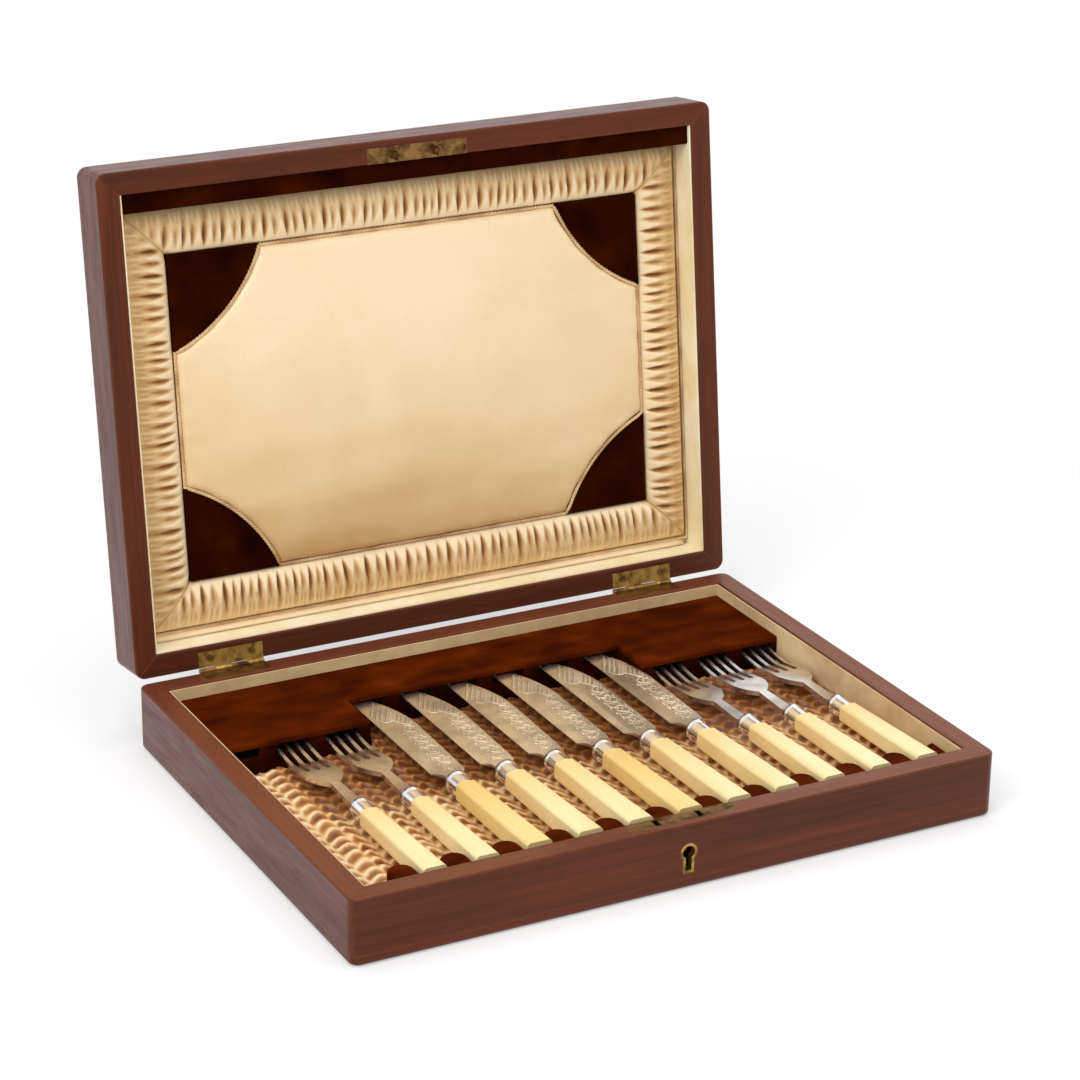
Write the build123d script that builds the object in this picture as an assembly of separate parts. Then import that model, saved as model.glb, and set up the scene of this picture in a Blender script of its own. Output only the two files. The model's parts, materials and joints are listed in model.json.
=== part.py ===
from build123d import *
import math
import os

# A fitted dessert cutlery chest: a shallow mahogany case with a hinged lid, a ruched satin tray with velvet
# rails, and loose knives and forks that lie in it. Millimetres, +X along the front, +Y to the hinges, +Z up.
# The origin is the centre of the underside of the base. The lid is drawn shut and then turned open.

# ---- wooden case ----
wall = 11.3                     # thickness of all the walls
base_height = 32.2              # underside to rim
lid_height = 28.0               # rim to top
bottom_board = 5.0
top_board = 6.0
corner_radius = 5.0             # outer upright corners
outer_edge_radius = 2.5         # worn outer edges of the two boards
rim_edge = 0.5                  # worn edges of the rims
rim_gap = 0.3                   # between the rims when shut
lid_open_angle = 97.0           # where the stopped hinges hold the lid
mitre_overrun = 2.0             # how far the mitre cutters pass the wood
level_band = 0.05               # edges this near a height count as lying at it

# ---- tray layout ----
bay_count = 12                  # six forks and six knives
knife_count = 6
knife_first_bay = 3
empty_bays = (0,)               # the leftmost fork is missing
bay_pitch = 25.6
side_margin = 0.1
lining = 0.8                    # covered card on the inner walls
lining_below_rim = 0.8
floor_card = 1.5
butt_to_front_wall = 9.7
seat_clearance = 0.3            # between a loose piece and what carries it
soft_clearance = 0.3            # between neighbouring soft pieces
axis_above_card = 14.7          # height of the ferrules' axis over the card

# ---- knives ----
knife_handle_length = 73.0
knife_butt = (12.4, 10.8)       # width and height
knife_neck = (10.4, 9.4)        # the handle's end at the ferrule
knife_ferrule_radius = 5.2
blade_length = 105.0            # ferrule to tip
blade_edge_offset = 7.3         # cutting edge from the axis
blade_spine_offset = 10.6       # spine from the axis
blade_thickness = 1.4
blade_edge_thickness = 0.4
bevel_width = 4.0
heel_start = 11.5               # where the cutting edge begins, from the ferrule
tip_round = 5.0
spine_fall = 42.0               # length over which the spine curves down to the tip

# ---- forks ----
fork_handle_length = 68.0
fork_butt = (11.4, 10.2)
fork_neck = (9.6, 8.8)
fork_ferrule_radius = 4.8
fork_metal_length = 80.0        # ferrule to the tips of the tines
shank_width = 6.2
shank_neck_width = 4.6
shoulder_start = 27.0
shoulder_end = 40.0
shoulder_flare = 0.62           # the shoulder's arc passes this share of its width ...
shoulder_rise = 0.42            # ... at this share of its length
fork_head_width = 18.0
fork_tip_width = 16.2
tine_root = 46.0
tine_root_width = 2.7
tine_tip_width = 1.3
tine_count = 4
fork_thickness = 2.4
tine_tip_thickness = 1.1
fork_bowl_depth = 3.4           # how far the bowl dips under the axis
bowl_lowest = 58.0
tine_tip_drop = 0.6             # the tines' tips under the axis
fork_curve = 0.7                # bulge of the two arcs that lead into and out of the dip

# ---- shared by knives and forks ----
handle_edge_radius = 1.9
ferrule_length = 10.5
ferrule_flange = 0.6            # how far the front collar stands out
flange_width = 1.6
bolster_length = 5.0
bolster_height = 5.0
bolster_width = 6.4
tang_width = 5.2

# ---- rail that takes the tips ----
knife_tip_inserted = 8.5
tine_inserted = 5.0
knife_rail_depth = 33.9         # from its front face to the rear lining
rail_below_rim = 6.7
rail_board = 2.5
rail_strip = 3.0
rail_edge_radius = 1.2
rail_step_inset = 2.0           # the knife part is this much narrower at each end than its bays
tip_slot_width = 17.4
tip_slot_below_axis = 3.6
cleat_width = 8.0

# ---- rail under the handles ----
handle_rail_depth = 22.9
cradle_above_card = 10.9        # floor of the notches
tongue_width = 12.4
tongue_top_below_rim = 6.7
tongue_gap_to_wall = 0.3

# ---- satin floor ----
satin_columns = 36              # gathered columns across the tray
satin_groove = 1.3
knife_pit = 11.0                # open pit between the satin and the rail
fork_pit = 7.5

# ---- lid padding ----
backing_card = 2.0
batten_depth = 9.8              # velvet batten along the front
batten_below_rim = 2.5
batten_edge_radius = 1.5
ruffle_width = 23.3
ruffle_side_gap = 1.6
ruffle_rear_gap = 4.6
ruffle_edge_height = 6.0        # above the backing card
ruffle_crown = 4.0
pleat_pitch = 6.6
pleat_depth = 1.2
valley_width = 3.6
roll_facets = 4                 # flats across a roll, which the pleats break up
panel_edge_height = 7.5
panel_crown = 3.0
velvet_corner_leg = 47.0
velvet_corner_bulge = 7.0
velvet_corner_height = 7.0
panel_cord = 2.6                # width and height
edge_cord = 1.4
cord_clearance = 0.1

# ---- butt hinges ----
hinge_centre_x = 115.4
hinge_length = 34.0
leaf_width = 8.2                # on the rim, in front of the rear face
leaf_thickness = 1.2
knuckle_count = 4
knuckle_radius = 1.25
pin_radius = 0.65
pin_clearance = 0.05
pin_behind_case = 1.4           # pin axis behind the rear face
knuckle_side_gap = 0.15
knuckle_relief = 0.2
hinge_screw_spread = 22.0
hinge_screw_inset = 4.4         # from the rear face

# ---- screws ----
screw_head_radius = 1.9
screw_head_height = 1.1
screw_shank_radius = 0.9
screw_length = 8.0
screw_slot_width = 0.5
screw_slot_depth = 0.4
screw_sides = 12                # flats that stand for the round of so small a screw

# ---- box lock and its link plate ----
plate_length = 53.5
plate_width = 7.8
plate_thickness = 1.2
plate_screw_spread = 37.4
lock_screw_spread = 49.0
lock_case_length = 46.0
lock_case_height = 22.0
lock_case_depth = 8.0
lock_case_wall = 0.8
hook_x = (-13.0, 9.0)
hook_thickness = 1.8
hook_width = 4.4
hook_reach = 7.4                # below the lid's rim
hook_slot_clearance = 0.5
eye_width = 2.4
eye_height = 2.6
eye_above_tip = 1.2
bolt_travel = 4.0
bolt_thickness = 1.6
bolt_bar_height = 3.6
nose_height = 1.6
nose_gap = 0.7                  # from the nose to the hook when unlocked
nose_length = 4.4
post_width = 2.0
guide_stud_x = (-8.0, 13.0)
guide_stud_radius = 1.0
guide_clearance = 0.1
keyhole_z = 18.2                # centre of the round head
keyhole_radius = 3.05
keyhole_slot_width = 3.0
keyhole_bottom_z = 9.15
escutcheon_wall = 1.25
escutcheon_depth = 2.0
key_pin_radius = 0.8

# ---- places that follow from the sizes ----
inner_width = bay_count * bay_pitch + 2 * side_margin
case_width = inner_width + 2 * wall
knife_length = knife_handle_length + ferrule_length + blade_length
fork_length = fork_handle_length + ferrule_length + fork_metal_length
knife_rail_run = butt_to_front_wall + knife_length - knife_tip_inserted
inner_depth = knife_rail_run + knife_rail_depth + lining
case_depth = inner_depth + 2 * wall

half_inner_x = inner_width / 2
half_inner_y = inner_depth / 2
lined_x = half_inner_x - lining
lined_y = half_inner_y - lining
rear_face = case_depth / 2

butt_y = -half_inner_y + butt_to_front_wall
knife_rail_y = butt_y + knife_length - knife_tip_inserted
fork_rail_y = butt_y + fork_length - tine_inserted
rail_step_x = knife_count * bay_pitch / 2 - rail_step_inset

card_top = bottom_board + floor_card
axis_z = card_top + axis_above_card
rail_top = base_height - rail_below_rim
rail_strip_top = rail_top - rail_board
tip_slot_floor = axis_z - tip_slot_below_axis
cradle_floor = card_top + cradle_above_card
flange_radius = knife_ferrule_radius + ferrule_flange
satin_top = axis_z - flange_radius - seat_clearance
handle_rail_y = -half_inner_y + lining + tongue_gap_to_wall + handle_rail_depth

lid_rim = base_height + rim_gap
lid_ceiling = lid_rim + lid_height - top_board
card_face = lid_ceiling - backing_card

hinge_y = rear_face + pin_behind_case
hinge_z = base_height + rim_gap / 2
hinge_axis = Axis((0, hinge_y, hinge_z), (1, 0, 0))

plate_y = -half_inner_y - plate_width / 2
hook_tip = lid_rim - hook_reach
eye_low = hook_tip + eye_above_tip
nose_z = eye_low + eye_height / 2


def block(x_low, x_high, y_low, y_high, z_low, z_high):
    """Rectangular block between two corners."""
    size = (x_high - x_low, y_high - y_low, z_high - z_low)
    centre = ((x_low + x_high) / 2, (y_low + y_high) / 2, (z_low + z_high) / 2)
    return Pos(*centre) * Box(*size)


def bay_x(bay):
    """Centre of a bay, counted from the left."""
    return (bay - (bay_count - 1) / 2) * bay_pitch


def is_knife_bay(bay):
    return knife_first_bay <= bay < knife_first_bay + knife_count


def lengthwise_cylinder(x_low, x_high, y, z, radius):
    """Cylinder along X."""
    return Pos((x_low + x_high) / 2, y, z) * Rot(0, 90, 0) * Cylinder(radius, x_high - x_low)


# ---------------------------------------------------------------- wooden case

def wall_ring(z_low, z_high, rim_z):
    """Four walls in one, with the rim's edges taken off."""
    outline = RectangleRounded(case_width, case_depth, corner_radius)
    outline -= Rectangle(inner_width, inner_depth)
    ring = Pos(0, 0, z_low) * extrude(outline, z_high - z_low)
    rim_edges = ring.edges().filter_by_position(Axis.Z, rim_z - level_band, rim_z + level_band)
    return chamfer(rim_edges, rim_edge)


def mitre_plan(side):
    """Plan of one wall, bounded by the mitre lines through its two corners."""
    far_x = case_width / 2 + mitre_overrun
    far_y = case_depth / 2 + mitre_overrun
    near_x = half_inner_x - mitre_overrun
    near_y = half_inner_y - mitre_overrun
    corners = {
        "front": [(-far_x, -far_y), (far_x, -far_y), (near_x, -near_y), (-near_x, -near_y)],
        "back": [(-far_x, far_y), (-near_x, near_y), (near_x, near_y), (far_x, far_y)],
        "left": [(-far_x, -far_y), (-near_x, -near_y), (-near_x, near_y), (-far_x, far_y)],
        "right": [(far_x, -far_y), (far_x, far_y), (near_x, near_y), (near_x, -near_y)],
    }
    return Polygon(*corners[side], align=None)


def mitred_walls(z_low, z_high, rim_z):
    """The four separate walls of the base or the lid, by side."""
    ring = wall_ring(z_low, z_high, rim_z)
    walls = {}
    for side in ("front", "back", "left", "right"):
        wedge = Pos(0, 0, z_low) * extrude(mitre_plan(side), z_high - z_low)
        walls[side] = ring & wedge
    return walls


def case_board(z_low, z_high, rounded_z, radius):
    """Bottom or top board: the case's whole footprint, with its outer edge rounded."""
    outline = RectangleRounded(case_width, case_depth, corner_radius)
    board = Pos(0, 0, z_low) * extrude(outline, z_high - z_low)
    edges = board.edges().filter_by_position(Axis.Z, rounded_z - level_band, rounded_z + level_band)
    return fillet(edges, radius)


# ---------------------------------------------------------------- screws and hinges

def screw_hole():
    """The space that a sunk screw fills, with its head at z = 0, pointing down."""
    head = extrude(RegularPolygon(screw_head_radius, screw_sides), -screw_head_height)
    shank = extrude(RegularPolygon(screw_shank_radius, screw_sides), -screw_length)
    return head + shank


def sunk_screw():
    """The same shape with a slot across its head."""
    half_x = screw_head_radius
    half_y = screw_slot_width / 2
    return screw_hole() - block(-half_x, half_x, -half_y, half_y, -screw_slot_depth, screw_slot_depth)


def hinge_screw_places(z, upward):
    """Where the hinge screws go, on both hinges: the base's point down, the lid's point up."""
    turn = Rot(180, 0, 0) if upward else Rot(0, 0, 0)
    y = rear_face - hinge_screw_inset
    places = []
    for hinge in (-hinge_centre_x, hinge_centre_x):
        for offset in (-hinge_screw_spread / 2, hinge_screw_spread / 2):
            places.append(Pos(hinge + offset, y, z) * turn)
    return places


def knuckle_span(centre_x, index):
    """Ends of one knuckle, with half the side gap taken off each."""
    step = hinge_length / knuckle_count
    start = centre_x - hinge_length / 2 + index * step
    return start + knuckle_side_gap / 2, start + step - knuckle_side_gap / 2


def hinge_leaf(centre_x, z_low, z_high, first_knuckle, bore_radius):
    """One leaf: a plate on the rim and every other knuckle round the pin."""
    low_x = centre_x - hinge_length / 2
    leaf = block(low_x, low_x + hinge_length, rear_face - leaf_width, hinge_y, z_low, z_high)
    for index in range(knuckle_count):
        start, end = knuckle_span(centre_x, index)
        if index % 2 == first_knuckle:
            leaf += lengthwise_cylinder(start, end, hinge_y, hinge_z, knuckle_radius)
        else:
            relief = hinge_y - knuckle_radius - knuckle_relief
            low = start - knuckle_side_gap
            high = end + knuckle_side_gap
            leaf -= block(low, high, relief, hinge_y + 1, 0, lid_ceiling)
    leaf -= lengthwise_cylinder(low_x - 1, low_x + hinge_length + 1, hinge_y, hinge_z, bore_radius)
    return leaf


def leaf_mortise(centre_x, z_low, z_high):
    """Recess for a leaf in the rear rim, open to the back."""
    half = hinge_length / 2
    return block(centre_x - half, centre_x + half, rear_face - leaf_width, rear_face + 1, z_low, z_high)


# ---------------------------------------------------------------- lock

def keyhole_plan(grow):
    """Keyhole outline in x and height, widened all round by grow."""
    head = Pos(0, keyhole_z) * Circle(keyhole_radius + grow)
    low = keyhole_bottom_z - grow
    shaft = Pos(0, (low + keyhole_z) / 2) * Rectangle(keyhole_slot_width + 2 * grow, keyhole_z - low)
    return head + shaft


def along_y(sketch, y_start, y_end):
    """Extrudes a sketch drawn in x and z from y_start back to y_end, which is nearer the front."""
    plane = Plane(origin=(0, y_start, 0), x_dir=(1, 0, 0), z_dir=(0, -1, 0))
    return extrude(plane * sketch, y_start - y_end)


def lock_case():
    """Open-topped brass case, let into the inner face of the front wall, with its studs and key pin."""
    inner = -half_inner_y
    outer = inner - lock_case_depth
    half = lock_case_length / 2
    top = base_height - plate_thickness
    low = top - lock_case_height
    case = block(-half, half, outer, inner, low, top)
    case -= block(
        -half + lock_case_wall,
        half - lock_case_wall,
        outer + lock_case_wall,
        inner - lock_case_wall,
        low + lock_case_wall,
        top,
    )
    case -= along_y(keyhole_plan(0), outer + lock_case_wall, outer - 1)
    pin = Pos(0, (inner + outer) / 2, keyhole_z) * Rot(90, 0, 0) * Cylinder(key_pin_radius, lock_case_depth)
    case += pin
    stud_end = plate_y - bolt_thickness
    for x in guide_stud_x:
        stud = along_y(Pos(x, bolt_bar_z()) * Circle(guide_stud_radius), inner - lock_case_wall, stud_end)
        case += stud
    return case


def bolt_bar_z():
    """Middle of the bolt's bar, under the hooks."""
    return hook_tip - seat_clearance - bolt_bar_height / 2


def lock_bolt():
    """Sliding bar with two noses that enter the hooks' eyes, drawn back (unlocked)."""
    bar_z = bolt_bar_z()
    left = hook_x[0] - hook_thickness / 2 - nose_gap - nose_length - post_width
    right = guide_stud_x[1] + bolt_travel
    bar = Pos((left + right) / 2, bar_z) * Rectangle(right - left, bolt_bar_height)
    for x in hook_x:
        nose_end = x - hook_thickness / 2 - nose_gap
        nose_start = nose_end - nose_length
        bar += Pos((nose_start + nose_end) / 2, nose_z) * Rectangle(nose_length, nose_height)
        post_low = bar_z
        post_high = nose_z + nose_height / 2
        post_x = nose_start - post_width / 2
        bar += Pos(post_x, (post_low + post_high) / 2) * Rectangle(post_width, post_high - post_low)
    slot_height = 2 * (guide_stud_radius + guide_clearance)
    for x in guide_stud_x:
        slot_left = x - bolt_travel - slot_height / 2
        slot_right = x + slot_height / 2
        bar -= Pos((slot_left + slot_right) / 2, bar_z) * Rectangle(slot_right - slot_left, slot_height)
    key_talon = Pos(0, bar_z - bolt_bar_height / 2) * Circle(keyhole_slot_width / 2)
    bar -= key_talon
    return along_y(bar, plate_y + bolt_thickness / 2, plate_y - bolt_thickness / 2)


def lock_plate(z_low, z_high):
    half = plate_length / 2
    return block(-half, half, plate_y - plate_width / 2, plate_y + plate_width / 2, z_low, z_high)


def lock_top_plate():
    """Plate on the rim, with a slot for each hook."""
    plate = lock_plate(base_height - plate_thickness, base_height)
    for x in hook_x:
        half_x = hook_thickness / 2 + hook_slot_clearance
        half_y = hook_width / 2 + hook_slot_clearance
        plate -= block(x - half_x, x + half_x, plate_y - half_y, plate_y + half_y, 0, base_height + 1)
    return plate


def link_plate():
    """Plate on the lid's rim with two hooks, each with an eye for the bolt."""
    plate = lock_plate(lid_rim, lid_rim + plate_thickness)
    for x in hook_x:
        plate += block(
            x - hook_thickness / 2,
            x + hook_thickness / 2,
            plate_y - hook_width / 2,
            plate_y + hook_width / 2,
            hook_tip,
            lid_rim,
        )
        plate -= block(
            x - hook_thickness,
            x + hook_thickness,
            plate_y - eye_width / 2,
            plate_y + eye_width / 2,
            eye_low,
            eye_low + eye_height,
        )
    return plate


def plate_screw_places(z, spread, upward):
    turn = Rot(180, 0, 0) if upward else Rot(0, 0, 0)
    return [Pos(x, plate_y, z) * turn for x in (-spread / 2, spread / 2)]


def lock_pocket():
    """All the wood that the lock, its plate and its keyhole take out of the front wall."""
    half = lock_case_length / 2
    top = base_height - plate_thickness
    outer = -half_inner_y - lock_case_depth
    pocket = block(-half, half, outer, -half_inner_y + 1, top - lock_case_height, top)
    pocket += block(
        -plate_length / 2,
        plate_length / 2,
        plate_y - plate_width / 2,
        -half_inner_y + 1,
        top,
        base_height + 1,
    )
    pocket += along_y(keyhole_plan(0), outer + 1, -case_depth / 2 - 1)
    pocket += along_y(keyhole_plan(escutcheon_wall), -case_depth / 2 + escutcheon_depth, -case_depth / 2 - 1)
    return pocket


def escutcheon():
    """Thin brass keyhole lining, flush with the front."""
    ring = keyhole_plan(escutcheon_wall) - keyhole_plan(0)
    return along_y(ring, -case_depth / 2 + escutcheon_depth, -case_depth / 2)


# ---------------------------------------------------------------- tray

def lining_strips():
    """Covered card on the rear, left and right walls, standing on the bottom board."""
    top = base_height - lining_below_rim
    rear = block(-half_inner_x, half_inner_x, lined_y, half_inner_y, bottom_board, top)
    left = block(-half_inner_x, -lined_x, -lined_y, lined_y, bottom_board, top)
    right = block(lined_x, half_inner_x, -lined_y, lined_y, bottom_board, top)
    return [rear, left, right]


def front_velvet_strip():
    top = base_height - lining_below_rim
    return block(-half_inner_x, half_inner_x, -half_inner_y, -lined_y, bottom_board, top)


def satin_profile():
    """End view of the satin floor: a row of soft arches, one per gathered column."""
    pitch = 2 * lined_x / satin_columns
    low = satin_top - satin_groove
    lines = []
    for column in range(satin_columns):
        left = -lined_x + column * pitch
        lines.append(ThreePointArc((left, low), (left + pitch / 2, satin_top), (left + pitch, low)))
    lines.append(Polyline((lined_x, low), (lined_x, card_top), (-lined_x, card_top), (-lined_x, low)))
    return make_face(lines)


def satin_floor():
    """Ruched satin floor, longer under the knives than under the forks."""
    front = handle_rail_y + soft_clearance
    rear = knife_rail_y - knife_pit
    fork_rear = fork_rail_y - fork_pit
    floor = along_y(satin_profile(), rear, front)
    for side in (-1, 1):
        inner_x = side * rail_step_x
        outer_x = side * (lined_x + 1)
        floor -= block(
            min(inner_x, outer_x), max(inner_x, outer_x), fork_rear, rear + 1, card_top - 1, satin_top + 1
        )
    return floor


def rail_plan():
    """Plan of the tip rail's top: deep over the fork bays, shallower over the knives."""
    return Polygon(
        (-lined_x, fork_rail_y),
        (-rail_step_x, fork_rail_y),
        (-rail_step_x, knife_rail_y),
        (rail_step_x, knife_rail_y),
        (rail_step_x, fork_rail_y),
        (lined_x, fork_rail_y),
        (lined_x, lined_y),
        (-lined_x, lined_y),
        align=None,
    )


def tip_rail_top():
    board = Pos(0, 0, rail_strip_top) * extrude(rail_plan(), rail_board)
    top_edges = board.edges().filter_by_position(Axis.Z, rail_top - level_band, rail_top + level_band)
    front_edges = top_edges.filter_by_position(Axis.Y, fork_rail_y - 1, knife_rail_y + 1)
    return fillet(front_edges, rail_edge_radius)


def tip_slots():
    """A slot for each bay's tip, open to the top board over it."""
    half = tip_slot_width / 2
    high = rail_strip_top + 1
    cuts = []
    for bay in range(bay_count):
        face = knife_rail_y if is_knife_bay(bay) else fork_rail_y
        x = bay_x(bay)
        cut = block(x - half, x + half, face - 1, face + rail_strip + 1, tip_slot_floor, high)
        cuts.append(cut)
    return cuts


def tip_rail_front():
    """Upright front strips of the rail: an L at each fork end and a straight strip at the knives."""
    low = card_top
    high = rail_strip_top
    fork_back = fork_rail_y + rail_strip
    knife_back = knife_rail_y + rail_strip
    left = block(-lined_x, -rail_step_x, fork_rail_y, fork_back, low, high)
    left += block(-rail_step_x - rail_strip, -rail_step_x, fork_rail_y, knife_back, low, high)
    right = mirror(left, Plane.YZ)
    middle = block(-rail_step_x, rail_step_x, knife_rail_y, knife_back, low, high)
    strips = [left, middle, right]
    return [strip - tip_slots() for strip in strips]


def tip_rail_cleat():
    return block(-lined_x, lined_x, lined_y - cleat_width, lined_y, card_top, rail_strip_top)


def handle_rail_bar():
    """Bar that carries the butts of all the handles."""
    return block(-lined_x, lined_x, handle_rail_y - handle_rail_depth, handle_rail_y, card_top, cradle_floor)


def tongue_plan(x_low, x_high):
    """A tongue between two handles, round at its rear end."""
    front = handle_rail_y - handle_rail_depth
    radius = tongue_width / 2
    centre = (x_low + x_high) / 2
    body = Rectangle(tongue_width, handle_rail_depth - radius)
    shape = Pos(centre, front + (handle_rail_depth - radius) / 2) * body
    shape += Pos(centre, handle_rail_y - radius) * Circle(radius)
    return shape


def handle_rail_tongues():
    """Velvet tongues between the notches, with a part tongue against each side lining."""
    top = base_height - tongue_top_below_rim
    limits = block(-lined_x, lined_x, -half_inner_y, half_inner_y, 0, base_height)
    tongues = []
    for gap in range(bay_count + 1):
        x = bay_x(gap) - bay_pitch / 2
        solid = Pos(0, 0, cradle_floor) * extrude(
            tongue_plan(x - tongue_width / 2, x + tongue_width / 2), top - cradle_floor
        )
        tongues.append(solid & limits)
    return tongues


# ---------------------------------------------------------------- cutlery

def from_two_views(plan, side, reach):
    """Solid with a given plan in x and y, and a given side view in y and z."""
    upright = Pos(0, 0, -reach) * extrude(plan, 2 * reach)
    return upright & extrude(Plane.YZ * side, reach, both=True)


def handle(x, length, neck, butt):
    """Square-ended handle with softened edges, which swells from the ferrule to the butt."""
    half_neck = neck[0] / 2
    half_butt = butt[0] / 2
    plan = Polygon((-half_butt, 0), (half_butt, 0), (half_neck, length), (-half_neck, length), align=None)
    low = cradle_floor + seat_clearance
    side = Polygon(
        (0, low),
        (length, axis_z - neck[1] / 2),
        (length, axis_z + neck[1] / 2),
        (0, low + butt[1]),
        align=None,
    )
    grip = from_two_views(plan, side, base_height)
    long_edges = [edge for edge in grip.edges() if edge.length > length / 2]
    return Pos(x, butt_y, 0) * fillet(long_edges, handle_edge_radius)


def ferrule(x, start_y, radius):
    """Round silver ferrule with a collar at its front end."""
    collar_start = ferrule_length - flange_width
    profile = Polygon(
        (0, 0),
        (radius, 0),
        (radius, collar_start),
        (radius + ferrule_flange, collar_start),
        (radius + ferrule_flange, ferrule_length),
        (0, ferrule_length),
        align=None,
    )
    return Pos(x, start_y, axis_z) * revolve(profile, Axis.Y)


def bolster(root_width, tang, thickness):
    """Tapered root of the metal, along +Y from the ferrule at the origin."""
    half_root = root_width / 2
    half_tang = tang / 2
    half_height = bolster_height / 2
    half = thickness / 2
    end = bolster_length
    plan = Polygon((-half_root, 0), (half_root, 0), (half_tang, end), (-half_tang, end), align=None)
    side = Polygon((0, -half_height), (end, -half), (end, half), (0, half_height), align=None)
    return from_two_views(plan, side, bolster_length)


def blade_plan():
    """Outline of a table blade on its side, the cutting edge at -x, from the ferrule at y = 0."""
    edge = -blade_edge_offset
    spine = blade_spine_offset
    tip = blade_length
    half_tang = tang_width / 2
    tang_end = bolster_length - 1
    heel_mid = ((edge - half_tang) / 2 + 0.9, (heel_start + tang_end) / 2 + 1.2)
    tip_top = (edge + tip_round * 0.7, tip)
    fall_start = (spine, tip - spine_fall)
    fall_mid = (spine * 0.5, tip - spine_fall * 0.38)
    shoulder = (spine - 1.2, heel_start)
    shoulder_mid = ((shoulder[0] + half_tang) / 2 + 1.4, (heel_start + tang_end) / 2 - 1.0)
    lines = [
        ThreePointArc((-half_tang, tang_end), heel_mid, (edge, heel_start)),
        Line((edge, heel_start), (edge, tip - tip_round)),
        ThreePointArc((edge, tip - tip_round), (edge + tip_round * 0.2, tip - tip_round * 0.25), tip_top),
        ThreePointArc(tip_top, fall_mid, fall_start),
        Line(fall_start, shoulder),
        ThreePointArc(shoulder, shoulder_mid, (half_tang, tang_end)),
        Line((half_tang, tang_end), (-half_tang, tang_end)),
    ]
    return make_face(lines)


def bevel_cutter():
    """Wedge that thins the upper face towards the cutting edge."""
    half = blade_thickness / 2
    outside = -blade_edge_offset - 1
    slope = (half - blade_edge_thickness / 2) / bevel_width
    section = Polygon(
        (-blade_edge_offset + bevel_width, half),
        (outside, blade_edge_thickness / 2 - slope),
        (outside, half + 1),
        (-blade_edge_offset + bevel_width, half + 1),
        align=None,
    )
    return extrude(Plane.XZ * section, blade_length + 1, dir=(0, 1, 0))


def blade():
    """Blade and bolster in one piece, from the ferrule at the origin along +Y."""
    flat = Pos(0, 0, -blade_thickness / 2) * extrude(blade_plan(), blade_thickness)
    cutter = bevel_cutter()
    flat -= cutter
    flat -= mirror(cutter, Plane.XY)
    return flat + bolster(bolster_width, tang_width, blade_thickness)


def fork_plan():
    """Outline of the shank, shoulders and tines, from the ferrule at y = 0."""
    tip = fork_metal_length
    half_head = fork_head_width / 2
    half_tip = fork_tip_width / 2
    half_neck = shank_neck_width / 2
    half_shank = shank_width / 2
    shank_start = bolster_length - 1
    flare_x = half_neck + (half_head - half_neck) * shoulder_flare
    flare_y = shoulder_start + (shoulder_end - shoulder_start) * shoulder_rise
    right_side = [
        Line((half_shank, shank_start), (half_neck, shoulder_start)),
        ThreePointArc((half_neck, shoulder_start), (flare_x, flare_y), (half_head, shoulder_end)),
        Line((half_head, shoulder_end), (half_tip, tip)),
    ]
    left_side = [mirror(line, Plane.YZ) for line in right_side]
    ends = [
        Line((-half_shank, shank_start), (half_shank, shank_start)),
        Line((-half_tip, tip), (half_tip, tip)),
    ]
    plan = make_face(right_side + left_side + ends)
    gaps = tine_count - 1
    root_gap = (fork_head_width - tine_count * tine_root_width) / gaps
    tip_gap = (fork_tip_width - tine_count * tine_tip_width) / gaps
    for index in range(gaps):
        place = index - (gaps - 1) / 2
        root_x = place * (root_gap + tine_root_width)
        tip_x = place * (tip_gap + tine_tip_width)
        plan -= Polygon(
            (root_x, tine_root - root_gap / 2),
            (root_x + root_gap / 2, tine_root),
            (tip_x + tip_gap / 2, tip + 1),
            (tip_x - tip_gap / 2, tip + 1),
            (root_x - root_gap / 2, tine_root),
            align=None,
        )
    return plan


def dipping_arcs(offset):
    """The fork's dip and rise as two arcs in y and z, moved up by offset at the shank."""
    start = (shoulder_start, offset)
    low_offset = offset * (fork_thickness + tine_tip_thickness) / (2 * fork_thickness)
    low = (bowl_lowest, low_offset - fork_bowl_depth)
    tip = (fork_metal_length, offset * tine_tip_thickness / fork_thickness - tine_tip_drop)
    fall_y = (start[0] + low[0]) / 2
    fall_z = (start[1] + low[1]) / 2 + fork_curve
    rise_y = (low[0] + tip[0]) / 2
    rise_z = (low[1] + tip[1]) / 2 - fork_curve
    return ThreePointArc(start, (fall_y, fall_z), low), ThreePointArc(low, (rise_y, rise_z), tip)


def fork_side():
    """Side view of the metal in y and z: a straight shank, a dip into the bowl and a rise to the tips."""
    start = bolster_length - 1
    half = fork_thickness / 2
    upper = dipping_arcs(half)
    lower = dipping_arcs(-half)
    lines = [
        Line((start, half), (shoulder_start, half)),
        *upper,
        Line(upper[1] @ 1, lower[1] @ 1),
        *lower,
        Line((start, -half), (shoulder_start, -half)),
        Line((start, -half), (start, half)),
    ]
    return make_face(lines)


def fork_head():
    """Shank, bowl and four tines: the plan carried down through the curved side view."""
    metal = from_two_views(fork_plan(), fork_side(), fork_head_width)
    return metal + bolster(bolster_width, shank_width, fork_thickness)


def knife_parts(bay):
    x = bay_x(bay)
    ferrule_y = butt_y + knife_handle_length
    metal = Pos(x, ferrule_y + ferrule_length, axis_z) * blade()
    band = ferrule(x, ferrule_y, knife_ferrule_radius)
    return [metal, band], [handle(x, knife_handle_length, knife_neck, knife_butt)]


def fork_parts(bay):
    x = bay_x(bay)
    ferrule_y = butt_y + fork_handle_length
    metal = Pos(x, ferrule_y + ferrule_length, axis_z) * fork_head()
    band = ferrule(x, ferrule_y, fork_ferrule_radius)
    return [metal, band], [handle(x, fork_handle_length, fork_neck, fork_butt)]


# ---------------------------------------------------------------- lid padding

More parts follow.
